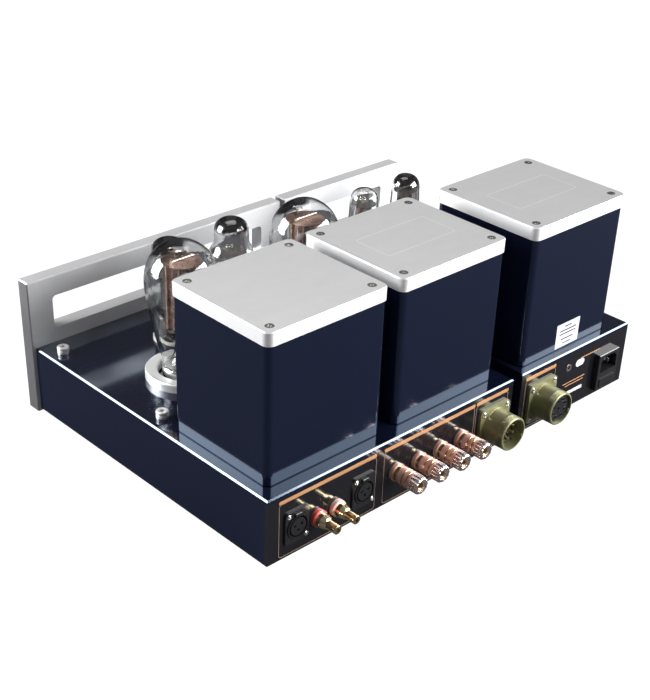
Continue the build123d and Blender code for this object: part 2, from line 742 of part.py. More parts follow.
def rca_shell(x):
    """The gilt body of a phono jack: shoulder, taper, barrel with its centre hole, inner nut and tail."""
    nut = -REAR_PANEL - 0.2
    outline = [
        (RCA_BORE, 25.0), (3.7, 25.0), (4.15, 24.5), (4.15, 14.0), (5.2, 13.2), (6.4, 9.0), (6.4, 5.0),
        (3.6, 5.0), (3.6, nut), (7.0, nut), (7.0, nut - 3.0), (3.6, nut - 3.0), (3.6, -12.0), (0, -12.0),
        (0, 25.0 - RCA_BORE_DEPTH), (RCA_BORE, 25.0 - RCA_BORE_DEPTH),
    ]
    return turned(rear_plane(x, RCA_Z), outline)


def post_insulator(x):
    """The insulating bush of a binding post: a flange outside and a neck through the panel."""
    outline = [
        (POST_STEM_RADIUS + 0.1, 3.5), (POST_RADIUS - 0.5, 3.5), (POST_RADIUS, 3.0), (POST_RADIUS, 0),
        (POST_HOLE - 0.2, 0), (POST_HOLE - 0.2, -REAR_PANEL), (POST_STEM_RADIUS + 0.1, -REAR_PANEL),
    ]
    return turned(rear_plane(x, POST_Z), outline)


def post_stem(x):
    """The threaded stem of a binding post: seat collar, banana bore, inner nut and solder tail."""
    nut = -REAR_PANEL - 0.2
    outline = [
        (BANANA_RADIUS, POST_TIP), (POST_STEM_RADIUS, POST_TIP), (POST_STEM_RADIUS, POST_SEAT),
        (7.2, POST_SEAT), (7.2, 3.5), (POST_STEM_RADIUS, 3.5), (POST_STEM_RADIUS, nut), (7.0, nut),
        (7.0, nut - 4.0), (POST_STEM_RADIUS, nut - 4.0), (POST_STEM_RADIUS, -15.0), (0, -15.0),
        (0, POST_TIP - BANANA_DEPTH), (BANANA_RADIUS, POST_TIP - BANANA_DEPTH),
    ]
    return turned(rear_plane(x, POST_Z), outline)


def post_washer(x):
    """The loose clamp washer that the cap pushes against the seat."""
    low = POST_SEAT
    high = POST_SEAT + POST_WASHER
    inner = POST_STEM_RADIUS + CLEAR
    with BuildPart() as washer:
        add(turned(rear_plane(x, POST_Z), [(inner, low), (7.4, low), (7.4, high), (inner, high)]))
    return washer


def post_cap(x):
    """The clamp cap: a long grip with rings, and a fluted end with the hole for a banana plug."""
    low = POST_SEAT + POST_WASHER
    inner = POST_STEM_RADIUS + FIT
    grip = POST_RADIUS
    outline = [
        (inner, low), (grip - 0.6, low), (grip, low + 0.6), (grip, 13.0), (grip - 0.5, 13.2),
        (grip - 0.5, 14.0), (grip, 14.2), (grip, 20.5), (grip - 0.9, 21.0), (grip - 0.9, 22.0),
        (grip - 0.2, 22.4), (grip - 0.2, 29.6), (grip - 1.4, REAR_REACH), (inner, REAR_REACH),
    ]
    with BuildPart() as cap:
        add(turned(rear_plane(x, POST_Z), outline))
        with BuildSketch(rear_plane(x, POST_Z, REAR_Y + REAR_REACH)):
            with PolarLocations(grip + 0.5, 12):
                Circle(1.5)
        extrude(amount=-8.0, mode=Mode.SUBTRACT)
    return cap


def connector_shell(x):
    """The olive shell of a circular connector: square flange, threaded barrel and rear tail."""
    inner = CONNECTOR_BORE
    outer = CONNECTOR_RADIUS
    barrel = [
        (inner, CONNECTOR_REACH), (outer - 1.0, CONNECTOR_REACH), (outer - 0.4, CONNECTOR_REACH - 0.6),
        (outer - 0.4, 19.5), (outer, 19.0), (outer, CONNECTOR_FLANGE_T), (outer + 0.8, CONNECTOR_FLANGE_T),
        (outer + 0.8, 0), (outer, 0), (outer, -CONNECTOR_TAIL), (inner, -CONNECTOR_TAIL),
    ]
    with BuildPart() as shell:
        add(turned(rear_plane(x, CONNECTOR_Z), barrel))
        with BuildSketch(rear_plane(x, CONNECTOR_Z)):
            RectangleRounded(CONNECTOR_FLANGE, CONNECTOR_FLANGE, 4.0)
            Circle(outer, mode=Mode.SUBTRACT)
            with Locations(*connector_screw_places()):
                Circle(TAP_RADIUS, mode=Mode.SUBTRACT)
        extrude(amount=CONNECTOR_FLANGE_T)
    return shell


CONNECTOR_FIT = CONNECTOR_BORE - 0.05
PLUG_FACE = 14.0
PLUG_PIN = 1.2
PLUG_PIN_TIP = 21.0
SOCKET_FACE = 23.5
SOCKET_HOLE = 1.5


def contact_places():
    """The contact pattern of the umbilical connector: a ring and one in the middle."""
    return ring_places(CONNECTOR_PINS - 1, 9.0, 22.5) + [(0, 0)]


def plug_insert(x):
    """The recessed insulator of the amplifier's connector and its standing contact pins."""
    with BuildPart() as insert:
        with BuildSketch(rear_plane(x, CONNECTOR_Z, REAR_Y + PLUG_FACE)):
            Circle(CONNECTOR_FIT)
        extrude(amount=-PLUG_FACE - CONNECTOR_TAIL + 2.0)
        with BuildSketch(rear_plane(x, CONNECTOR_Z, REAR_Y + PLUG_FACE)):
            with Locations(*contact_places()):
                Circle(PLUG_PIN)
        extrude(amount=PLUG_PIN_TIP - PLUG_FACE)
    return insert


def socket_insert(x):
    """The insulator of the power supply's connector, with its contact holes near the mouth."""
    with BuildPart() as insert:
        with BuildSketch(rear_plane(x, CONNECTOR_Z, REAR_Y + SOCKET_FACE)):
            Circle(CONNECTOR_FIT)
        extrude(amount=-SOCKET_FACE - CONNECTOR_TAIL + 2.0)
        with BuildSketch(rear_plane(x, CONNECTOR_Z, REAR_Y + SOCKET_FACE)):
            with Locations(*contact_places()):
                Circle(SOCKET_HOLE)
        extrude(amount=-14.0, mode=Mode.SUBTRACT)
    return insert


def flange_screws(x):
    """The four screws of a circular connector's flange."""
    seat = REAR_Y + CONNECTOR_FLANGE_T
    return [
        pan_screw(rear_plane(x - dx, CONNECTOR_Z + dz, seat), CONNECTOR_FLANGE_T + REAR_PANEL + 3.0)
        for dx, dz in connector_screw_places()
    ]


def mains_inlet():
    """The mains inlet: raised frame, six-sided cavity with three blades, and the fuse drawer's slot."""
    face = REAR_Y + INLET_STAND
    with BuildPart() as inlet:
        with BuildSketch(rear_plane(INLET_X, INLET_Z, face)):
            RectangleRounded(INLET_WIDTH, INLET_HEIGHT, 1.5)
        extrude(amount=-INLET_STAND)
        chamfer(inlet.faces().sort_by(Axis.Y)[-1].edges(), 0.6)
        with BuildSketch(rear_plane(INLET_X, INLET_Z)):
            RectangleRounded(INLET_WIDTH - 4.0, INLET_HEIGHT - 4.0, 1.0)
        extrude(amount=-INLET_DEPTH)
        with BuildSketch(rear_plane(INLET_X, INLET_Z + INLET_CAVITY_RISE, face)):
            half_x = INLET_CAVITY_WIDTH / 2
            half_z = INLET_CAVITY_HEIGHT / 2
            Polygon(
                (-half_x, -half_z), (half_x, -half_z), (half_x, half_z - 4.4), (half_x - 4.4, half_z),
                (-half_x + 4.4, half_z), (-half_x, half_z - 4.4), align=None,
            )
        extrude(amount=-INLET_CAVITY_DEPTH, mode=Mode.SUBTRACT)
        with BuildSketch(rear_plane(INLET_X, INLET_Z + INLET_CAVITY_RISE, face - INLET_CAVITY_DEPTH)):
            with Locations((-7.0, -2.0), (7.0, -2.0), (0, 2.0)):
                Rectangle(2.0, 4.0)
        extrude(amount=12.0)
        with BuildSketch(rear_plane(INLET_X, INLET_Z + DRAWER_RISE, face)):
            Rectangle(DRAWER_WIDTH + 2 * CLEAR, DRAWER_HEIGHT + 2 * CLEAR)
        extrude(amount=-DRAWER_DEPTH - 1.0, mode=Mode.SUBTRACT)
    return inlet


def fuse_drawer():
    """The pull-out drawer below the mains inlet and the glass fuse that lies in it."""
    face = REAR_Y + INLET_STAND + 0.8
    middle_z = INLET_Z + DRAWER_RISE
    fuse_room = FUSE_RADIUS + 0.4
    fuse_y = face - 12.0
    pocket_floor = middle_z - DRAWER_HEIGHT / 2 + DRAWER_FLOOR
    with BuildPart() as drawer:
        with BuildSketch(rear_plane(INLET_X, middle_z, face)):
            Rectangle(DRAWER_WIDTH, DRAWER_HEIGHT)
        extrude(amount=-DRAWER_DEPTH)
        with BuildSketch(rear_plane(INLET_X, middle_z, face)):
            with Locations((0, -DRAWER_HEIGHT / 2)):
                Rectangle(10.0, 2.4)
        extrude(amount=-1.6, mode=Mode.SUBTRACT)
        with BuildSketch(Plane(origin=(INLET_X, fuse_y, middle_z + DRAWER_HEIGHT / 2))):
            Rectangle(FUSE_LENGTH + 1.0, 2 * fuse_room)
        extrude(amount=DRAWER_FLOOR - DRAWER_HEIGHT, mode=Mode.SUBTRACT)
        fuse_end = (INLET_X - FUSE_LENGTH / 2, fuse_y, pocket_floor + FUSE_RADIUS)
        with BuildSketch(Plane(origin=fuse_end, z_dir=(1, 0, 0))):
            Circle(FUSE_RADIUS)
        extrude(amount=FUSE_LENGTH)
    return drawer


# ---------------------------------------------------------------- power switch on the front
BUTTON_RADIUS = 8.0
BUTTON_RISE = 33.0
SWITCH_RADIUS = 11.0
SWITCH_DEPTH = 22.0
PLUNGER_RADIUS = 3.0
BUTTON_LENGTH = 7.0


def power_button():
    """The round push button with the plunger that reaches the switch behind the panel."""
    plane = front_plane(PSU_MID_X, BASE_Z + BUTTON_RISE)
    tail = -PANEL_THICKNESS - SIDE_WALL - 6.0
    outline = [
        (0, BUTTON_REACH), (BUTTON_RADIUS - 1.0, BUTTON_REACH), (BUTTON_RADIUS, BUTTON_REACH - 1.0),
        (BUTTON_RADIUS, BUTTON_REACH - BUTTON_LENGTH), (PLUNGER_RADIUS, BUTTON_REACH - BUTTON_LENGTH),
        (PLUNGER_RADIUS, tail), (0, tail),
    ]
    with BuildPart() as button:
        add(turned(plane, outline))
    return button


def power_switch():
    """The switch body behind the front wall, with the bore that guides the plunger."""
    plane = front_plane(PSU_MID_X, BASE_Z + BUTTON_RISE, FRONT_Y + SIDE_WALL)
    room = 6.0 + BUTTON_TRAVEL + 1.0
    bore = PLUNGER_RADIUS + FIT
    outline = [
        (bore, 0), (SWITCH_RADIUS, 0), (SWITCH_RADIUS, -SWITCH_DEPTH), (0, -SWITCH_DEPTH), (0, -room),
        (bore, -room),
    ]
    with BuildPart() as switch:
        add(turned(plane, outline))
    return switch


# ---------------------------------------------------------------- the amplifier unit
amp_deck_holes = (
    [(x, OUTPUT_Y, COLLAR_BORE) for x in AMP_COVER_XS]
    + [(x, SMALL_Y, OCTAL_SOCKET_RADIUS + 0.2) for x in DRIVER_XS]
    + [(x, y, RECEPTACLE_NECK + 0.1) for x, y in RECEPTACLE_PLACES]
)
amp_cover_places = [(x, AMP_COVER_Y) for x in AMP_COVER_XS]

amp_chassis = chassis_shell(AMP_LEFT, AMP_RIGHT, amp_deck_holes, amp_cover_places)
finish(amp_chassis, "amp_chassis")

amp_bottom_cover = bottom_cover(AMP_LEFT, AMP_RIGHT, foot_places(AMP_LEFT, AMP_RIGHT))
finish(amp_bottom_cover, "amp_bottom_cover")

amp_front_panel = front_panel(AMP_LEFT, AMP_RIGHT)
finish(amp_front_panel, "amp_front_panel")

amp_feet = rubber_feet(AMP_LEFT, AMP_RIGHT)
finish(amp_feet, "amp_feet")

with BuildPart() as amp_rear_panel:
    add(rear_sheet(AMP_LEFT, AMP_RIGHT).part)
    with BuildSketch(rear_plane(0, 0)):
        with Locations(*[(-x, XLR_Z) for x in XLR_XS]):
            Circle(XLR_BODY_RADIUS + 0.2)
        with Locations(*[(-x + dx, XLR_Z + dz) for x in XLR_XS for dx, dz in xlr_screw_places()]):
            Circle(TAP_RADIUS)
        with Locations(*[(-x, XLR_Z + XLR_LATCH_RISE) for x in XLR_XS]):
            Rectangle(XLR_LATCH_X + 2 * CLEAR, XLR_LATCH_Z + 2 * CLEAR)
        with Locations(*[(-x, RCA_Z) for x in RCA_XS]):
            Circle(RCA_HOLE)
        with Locations(*[(-x, POST_Z) for x in POST_XS]):
            Circle(POST_HOLE)
        with Locations((-AMP_CONNECTOR_X, CONNECTOR_Z)):
            Circle(CONNECTOR_RADIUS + 0.2)
            with Locations(*connector_screw_places()):
                Circle(TAP_RADIUS)
    extrude(amount=-REAR_PANEL, mode=Mode.SUBTRACT)
finish(amp_rear_panel, "amp_rear_panel")

with BuildPart() as output_transformer_covers:
    for cover_x in AMP_COVER_XS:
        add(cover_shell(cover_x, AMP_COVER_Y))
finish(output_transformer_covers, "output_transformer_covers")

with BuildPart() as output_transformer_lids:
    for cover_x in AMP_COVER_XS:
        add(cover_lid(cover_x, AMP_COVER_Y))
finish(output_transformer_lids, "output_transformer_lids")

OUTPUT_CORE = (90.0, 84.0, 44.0)
with BuildPart() as output_transformers:
    for cover_x in AMP_COVER_XS:
        add(laminated_core(cover_x, AMP_COVER_Y, DECK_Z, *OUTPUT_CORE))
        add(coil(cover_x, AMP_COVER_Y, DECK_Z, *OUTPUT_CORE))
finish(output_transformers, "output_transformers")

with BuildPart() as amp_tube_sockets:
    for cover_x in AMP_COVER_XS:
        add(output_socket(cover_x, OUTPUT_Y))
    for driver_x in DRIVER_XS:
        add(octal_socket(driver_x, SMALL_Y))
finish(amp_tube_sockets, "amp_tube_sockets")

with BuildPart() as output_tube_collars:
    for cover_x in AMP_COVER_XS:
        add(collar(cover_x, OUTPUT_Y))
finish(output_tube_collars, "output_tube_collars")

with BuildPart() as amp_cage_receptacles:
    for receptacle_x, receptacle_y in RECEPTACLE_PLACES:
        add(receptacle(receptacle_x, receptacle_y))
finish(amp_cage_receptacles, "amp_cage_receptacles")

BOARD_Z = BASE_Z + 14.0
BOARD_LENGTH = 170.0
BOARD_DEPTH = 60.0
BOARD_Y = REAR_Y - 130.0
BOARD_THICKNESS = 1.6
# radius and length of the board's capacitors and resistors, and their places along it from its middle
BOARD_PARTS = (
    (8.0, 34.0, (-50.0, -18.0, 18.0, 50.0)),
    (3.2, 16.0, (-72.0, -34.0, 0.0, 34.0, 72.0)),
)
amp_middle = (AMP_LEFT + AMP_RIGHT) / 2
board_top = BOARD_Z + BOARD_THICKNESS

with BuildPart() as amplifier_board:
    with BuildSketch(Plane.XY.offset(BOARD_Z)):
        with Locations((amp_middle, BOARD_Y)):
            Rectangle(BOARD_LENGTH, BOARD_DEPTH)
            with Locations(*corner_places(BOARD_LENGTH, BOARD_DEPTH, 5.0)):
                Circle(1.6, mode=Mode.SUBTRACT)
    extrude(amount=BOARD_THICKNESS)
    for part_radius, part_length, part_places in BOARD_PARTS:
        for part_x in part_places:
            part_start = (amp_middle + part_x, BOARD_Y - part_length / 2, board_top + part_radius)
            seat = Plane(origin=part_start, x_dir=(1, 0, 0), z_dir=(0, 1, 0))
            with BuildSketch(seat):
                Circle(part_radius)
            extrude(amount=part_length)
finish(amplifier_board, "amplifier_board")

with BuildPart() as xlr_sockets:
    for xlr_x in XLR_XS:
        add(xlr_socket(xlr_x))
finish(xlr_sockets, "xlr_sockets")

for xlr_name, xlr_x in zip(("right", "left"), XLR_XS):
    finish(xlr_latch(xlr_x), f"xlr_latch_{xlr_name}")

with BuildPart() as rca_jacks:
    for rca_x in RCA_XS:
        add(rca_shell(rca_x))
finish(rca_jacks, "rca_jacks")

with BuildPart() as rca_insulators:
    for rca_x in RCA_XS:
        add(rca_insulator(rca_x))
finish(rca_insulators, "rca_insulators")

with BuildPart() as binding_post_stems:
    for post_x in POST_XS:
        add(post_stem(post_x))
finish(binding_post_stems, "binding_post_stems")

with BuildPart() as binding_post_insulators:
    for post_x in POST_XS:
        add(post_insulator(post_x))
finish(binding_post_insulators, "binding_post_insulators")

for post_number, post_x in enumerate(POST_XS, start=1):
    finish(post_washer(post_x), f"post_washer_{post_number}")
    finish(post_cap(post_x), f"post_cap_{post_number}")

amp_connector_shell = connector_shell(AMP_CONNECTOR_X)
finish(amp_connector_shell, "amp_connector_shell")

amp_connector_insert = plug_insert(AMP_CONNECTOR_X)
finish(amp_connector_insert, "amp_connector_insert")

with BuildPart() as amp_screws:
    for cover_x in AMP_COVER_XS:
        for screw in lid_screws(cover_x, AMP_COVER_Y):
            add(screw)
    for screw in chassis_screws(AMP_LEFT, AMP_RIGHT) + flange_screws(AMP_CONNECTOR_X):
        add(screw)
    for xlr_x in XLR_XS:
        for dx, dz in xlr_screw_places():
            add(pan_screw(rear_plane(xlr_x - dx, XLR_Z + dz, REAR_Y + XLR_FLANGE), 8.0, 2.2, 1.1))
finish(amp_screws, "amp_screws")

for side, cover_x in zip(("right", "left"), AMP_COVER_XS):
    finish(envelope(cover_x, OUTPUT_Y, OUTPUT_BULB), f"output_tube_{side}_glass")
    finish(output_base(cover_x, OUTPUT_Y), f"output_tube_{side}_base")

DRIVER_CAGE = (38.0, 66.0, 9.0, 5.0, 13.5)
for side, driver_x in zip(("right", "left"), DRIVER_XS):
    finish(envelope(driver_x, SMALL_Y, DRIVER_BULB), f"driver_tube_{side}_glass")
    driver_base = octal_base(driver_x, SMALL_Y, DRIVER_BASE_TOP, *DRIVER_CAGE)
    finish(driver_base, f"driver_tube_{side}_base")

# ---------------------------------------------------------------- the power supply unit
psu_deck_holes = [(x, SMALL_Y, OCTAL_SOCKET_RADIUS + 0.2) for x in RECTIFIER_XS]

with BuildPart() as psu_chassis:
    add(chassis_shell(PSU_LEFT, PSU_RIGHT, psu_deck_holes, [(PSU_COVER_X, PSU_COVER_Y)]).part)
    with BuildSketch(front_plane(PSU_MID_X, BASE_Z + BUTTON_RISE, FRONT_Y)):
        Circle(PLUNGER_RADIUS + 1.0)
    extrude(amount=-SIDE_WALL, mode=Mode.SUBTRACT)
finish(psu_chassis, "psu_chassis")

psu_bottom_cover = bottom_cover(PSU_LEFT, PSU_RIGHT, foot_places(PSU_LEFT, PSU_RIGHT))
finish(psu_bottom_cover, "psu_bottom_cover")

with BuildPart() as psu_front_panel:
    add(front_panel(PSU_LEFT, PSU_RIGHT).part)
    with BuildSketch(front_plane(PSU_MID_X, BASE_Z + BUTTON_RISE)):
        Circle(BUTTON_RADIUS + CLEAR)
    extrude(amount=-PANEL_THICKNESS, mode=Mode.SUBTRACT)
finish(psu_front_panel, "psu_front_panel")

psu_feet = rubber_feet(PSU_LEFT, PSU_RIGHT)
finish(psu_feet, "psu_feet")

with BuildPart() as psu_rear_panel:
    add(rear_sheet(PSU_LEFT, PSU_RIGHT).part)
    with BuildSketch(rear_plane(0, 0)):
        with Locations((-PSU_CONNECTOR_X, CONNECTOR_Z)):
            Circle(CONNECTOR_RADIUS + 0.2)
            with Locations(*connector_screw_places()):
                Circle(TAP_RADIUS)
        with Locations((-INLET_X, INLET_Z)):
            Rectangle(INLET_WIDTH - 3.6, INLET_HEIGHT - 3.6)
    extrude(amount=-REAR_PANEL, mode=Mode.SUBTRACT)
finish(psu_rear_panel, "psu_rear_panel")

with BuildPart() as power_transformer_cover:
    add(cover_shell(PSU_COVER_X, PSU_COVER_Y))
finish(power_transformer_cover, "power_transformer_cover")

with BuildPart() as power_transformer_lid:
    add(cover_lid(PSU_COVER_X, PSU_COVER_Y))
finish(power_transformer_lid, "power_transformer_lid")

POWER_CORE = (105.0, 92.0, 56.0)
with BuildPart() as power_transformer:
    add(laminated_core(PSU_COVER_X, PSU_COVER_Y, DECK_Z, *POWER_CORE))
    add(coil(PSU_COVER_X, PSU_COVER_Y, DECK_Z, *POWER_CORE))
finish(power_transformer, "power_transformer")

CHOKE_CORE = (60.0, 50.0, 24.0)
CHOKE_PLACE = (PSU_MID_X, REAR_Y - 100.0, SHELL_Z)
with BuildPart() as filter_choke:
    add(laminated_core(*CHOKE_PLACE, *CHOKE_CORE))
    add(coil(*CHOKE_PLACE, *CHOKE_CORE))
finish(filter_choke, "filter_choke")

FILTER_RADIUS = 15.0
FILTER_HEIGHT = 46.0
FILTER_PLACES = [(PSU_MID_X + dx, REAR_Y - row) for dx in (-20.0, 20.0) for row in (165.0, 205.0)]
with BuildPart() as filter_capacitors:
    with BuildSketch(Plane.XY.offset(SHELL_Z)):
        with Locations(*FILTER_PLACES):
            Circle(FILTER_RADIUS)
    extrude(amount=FILTER_HEIGHT)
finish(filter_capacitors, "filter_capacitors")

with BuildPart() as rectifier_tube_sockets:
    for rectifier_x in RECTIFIER_XS:
        add(octal_socket(rectifier_x, SMALL_Y))
finish(rectifier_tube_sockets, "rectifier_tube_sockets")

psu_connector_shell = connector_shell(PSU_CONNECTOR_X)
finish(psu_connector_shell, "psu_connector_shell")

psu_connector_insert = socket_insert(PSU_CONNECTOR_X)
finish(psu_connector_insert, "psu_connector_insert")

finish(mains_inlet(), "mains_inlet")
finish(fuse_drawer(), "fuse_drawer")
finish(power_switch(), "power_switch")
finish(power_button(), "power_button")

with BuildPart() as psu_screws:
    for screw in lid_screws(PSU_COVER_X, PSU_COVER_Y):
        add(screw)
    for screw in chassis_screws(PSU_LEFT, PSU_RIGHT) + flange_screws(PSU_CONNECTOR_X):
        add(screw)
finish(psu_screws, "psu_screws")

RECTIFIER_CAGE = (36.0, 68.0, 7.5, 4.5, 11.5)
for side, rectifier_x in zip(("right", "left"), RECTIFIER_XS):
    finish(envelope(rectifier_x, SMALL_Y, RECTIFIER_BULB), f"rectifier_tube_{side}_glass")
    rectifier_base = octal_base(rectifier_x, SMALL_Y, RECTIFIER_BASE_TOP, *RECTIFIER_CAGE)
    finish(rectifier_base, f"rectifier_tube_{side}_base")
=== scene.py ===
"""The looks of the two-chassis valve amplifier: finishes, fine pieces, light and camera.

Pieces are worked out in millimetres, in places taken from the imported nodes, and scaled to metres as they
are made.
"""
from math import cos, pi, radians, sin, tau

import bmesh
import bpy
from mathutils import Matrix, Vector


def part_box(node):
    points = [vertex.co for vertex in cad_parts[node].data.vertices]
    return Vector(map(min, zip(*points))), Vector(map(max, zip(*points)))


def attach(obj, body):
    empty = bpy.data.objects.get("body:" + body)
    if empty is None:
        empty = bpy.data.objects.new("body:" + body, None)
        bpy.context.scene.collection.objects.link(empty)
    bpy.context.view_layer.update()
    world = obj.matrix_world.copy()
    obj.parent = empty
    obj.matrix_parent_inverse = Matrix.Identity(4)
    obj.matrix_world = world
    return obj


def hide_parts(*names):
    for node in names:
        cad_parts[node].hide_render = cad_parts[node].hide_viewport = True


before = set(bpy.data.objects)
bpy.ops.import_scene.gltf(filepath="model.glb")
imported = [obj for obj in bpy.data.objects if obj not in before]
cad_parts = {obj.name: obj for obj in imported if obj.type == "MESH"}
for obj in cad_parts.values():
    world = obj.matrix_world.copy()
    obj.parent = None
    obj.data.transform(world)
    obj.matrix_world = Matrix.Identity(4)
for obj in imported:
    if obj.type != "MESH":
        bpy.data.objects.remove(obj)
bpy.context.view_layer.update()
scene = bpy.context.scene

MM = 0.001           # a millimetre, in Blender's metres
TINY = 1e-6          # a radius under this is a pole


# ---------------------------------------------------------------- places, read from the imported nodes
def node_box(node):
    """The lowest and highest corners of a node, in millimetres."""
    low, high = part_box(node)
    return low / MM, high / MM


def node_middle(node):
    """The middle of a node's box, in millimetres."""
    low, high = node_box(node)
    return (low + high) / 2


def upright(x, y, z):
    """A place whose Z axis points up."""
    return Matrix.Translation((x, y, z))


def rearward(x, y, z):
    """A place on the back of the object: its Z axis points to the rear, its Y axis up."""
    turn = Matrix(((-1, 0, 0, 0), (0, 0, 1, 0), (0, 1, 0, 0), (0, 0, 0, 1)))
    return Matrix.Translation((x, y, z)) @ turn


DECK = node_box("amp_chassis")[1].z
REAR = node_box("amp_rear_panel")[1].y
SIDES = ("right", "left")
POSTS = range(1, 5)


# ---------------------------------------------------------------- mesh building
LEAST_CORNER = 0.05
SHARP_EDGE = 32.0    # degrees between faces, from which an edge is drawn sharp


class Shape:
    """The points and faces of one piece, gathered in millimetres before they become a mesh."""

    def __init__(self):
        self.points = []
        self.faces = []
        self.tints = []

    def add(self, place, points, faces, tint=0):
        """Add points and faces at a place; tint is the index of their material."""
        start = len(self.points)
        self.points += [place @ Vector(point) for point in points]
        self.faces += [[start + index for index in face] for face in faces]
        self.tints += [tint] * len(faces)

    def loft(self, place, rings, tint=0, capped=True, closed=False):
        """Join rings of points; a ring of one point is a pole.

        capped fills both ends, and closed joins the last ring to the first instead.
        """
        points, spans, faces = [], [], []
        for ring in rings:
            spans.append(range(len(points), len(points) + len(ring)))
            points += ring
        steps = max(len(span) for span in spans)
        pairs = list(zip(spans, spans[1:]))
        if closed:
            pairs.append((spans[-1], spans[0]))
        for low, high in pairs:
            for step in range(steps):
                after = step + 1
                lower = (low[step % len(low)], low[after % len(low)])
                upper = (high[after % len(high)], high[step % len(high)])
                faces.append(list(dict.fromkeys(lower + upper)))
        if capped and not closed:
            faces.append(list(reversed(spans[0])))
            faces.append(list(spans[-1]))
        self.add(place, points, faces, tint)

    def turn(self, place, outline, tint=0, steps=64, closed=False, flute=None):
        """Revolve (radius, height) points; flute changes a radius with the angle and the height."""
        rings = []
        for radius, height in outline:
            if radius < TINY:
                rings.append([(0, 0, height)])
                continue
            ring = []
            for step in range(steps):
                angle = tau * step / steps
                reach = flute(radius, height, angle) if flute else radius
                ring.append((reach * cos(angle), reach * sin(angle), height))
            rings.append(ring)
        self.loft(place, rings, tint, capped=False, closed=closed)

    def slab(self, place, width, height, corner, low, high, bevel=0.0, tint=0, hollow=None):
        """A rounded rectangular slab from low to high, with a bevelled upper edge.

        hollow gives the width, height and corner of an opening through it.
        """
        rings = [at_height(rounded(width, height, corner), low)]
        rings.append(at_height(rounded(width, height, corner), high - bevel))
        if bevel:
            inner = rounded(width - 2 * bevel, height - 2 * bevel, max(corner - bevel, LEAST_CORNER))
            rings.append(at_height(inner, high))
        if hollow:
            opening = rounded(*hollow)
            rings.append(at_height(opening, high))
            rings.append(at_height(opening, low))
        self.loft(place, rings, tint, closed=bool(hollow))

    def wire(self, place, path, radius, tint=0, steps=10, closed=False):
        """A round wire along a path of points."""
        line = [Vector(point) for point in path]
        rings = []
        side = None
        for index, point in enumerate(line):
            before = line[index - 1] if index or closed else point
            after = line[(index + 1) % len(line)] if index + 1 < len(line) or closed else point
            run = (after - before).normalized()
            if side is None:
                side = run.orthogonal().normalized()
            side = (side - run * side.dot(run)).normalized()
            lift = run.cross(side)
            rings.append([
                tuple(point + side * (radius * cos(tau * k / steps)) + lift * (radius * sin(tau * k / steps)))
                for k in range(steps)
            ])
        self.loft(place, rings, tint, closed=closed)

    def build(self, name, body, slot, *materials, replaces=()):
        """Make the piece, let it ride on its body, and hide the nodes that it replaces."""
        mesh = bpy.data.meshes.new(name)
        mesh.from_pydata([point * MM for point in self.points], [], self.faces)
        for material in materials:
            mesh.materials.append(material)
        mesh.polygons.foreach_set("material_index", self.tints)
        work = bmesh.new()
        work.from_mesh(mesh)
        bmesh.ops.recalc_face_normals(work, faces=work.faces)
        work.to_mesh(mesh)
        work.free()
        mesh.shade_smooth()
        mesh.set_sharp_from_angle(angle=radians(SHARP_EDGE))
        piece = bpy.data.objects.new(name, mesh)
        scene.collection.objects.link(piece)
        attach(piece, body)
        if replaces:
            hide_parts(*replaces)
        return piece


def rounded(width, height, corner, steps=6):
    """The outline of a rounded rectangle about the origin."""
    points = []
    for quarter in range(4):
        x = (width / 2 - corner) * (1 if quarter in (0, 3) else -1)
        y = (height / 2 - corner) * (1 if quarter in (0, 1) else -1)
        for step in range(steps + 1):
            angle = pi / 2 * (quarter + step / steps)
            points.append((x + corner * cos(angle), y + corner * sin(angle)))
    return points


def at_height(outline, z):
    """A flat outline lifted to a height."""
    return [(x, y, z) for x, y in outline]


def circle_path(radius, z, steps=32, x=0.0, y=0.0):
    """Points round a circle, for a closed wire."""
    return [(x + radius * cos(tau * k / steps), y + radius * sin(tau * k / steps), z) for k in range(steps)]


def smooth_outline(points, steps=8):
    """A Catmull-Rom curve through (radius, height) points."""
    smooth = []
    for index in range(len(points) - 1):
        a = points[max(index - 1, 0)]
        b = points[index]
        c = points[index + 1]
        d = points[min(index + 2, len(points) - 1)]
        for step in range(steps):
            t = step / steps
            smooth.append(tuple(
                0.5 * (2 * b[k] + (c[k] - a[k]) * t + (2 * a[k] - 5 * b[k] + 4 * c[k] - d[k]) * t ** 2
                       + (3 * b[k] - a[k] - 3 * c[k] + d[k]) * t ** 3)
                for k in (0, 1)
            ))
    return smooth + [points[-1]]


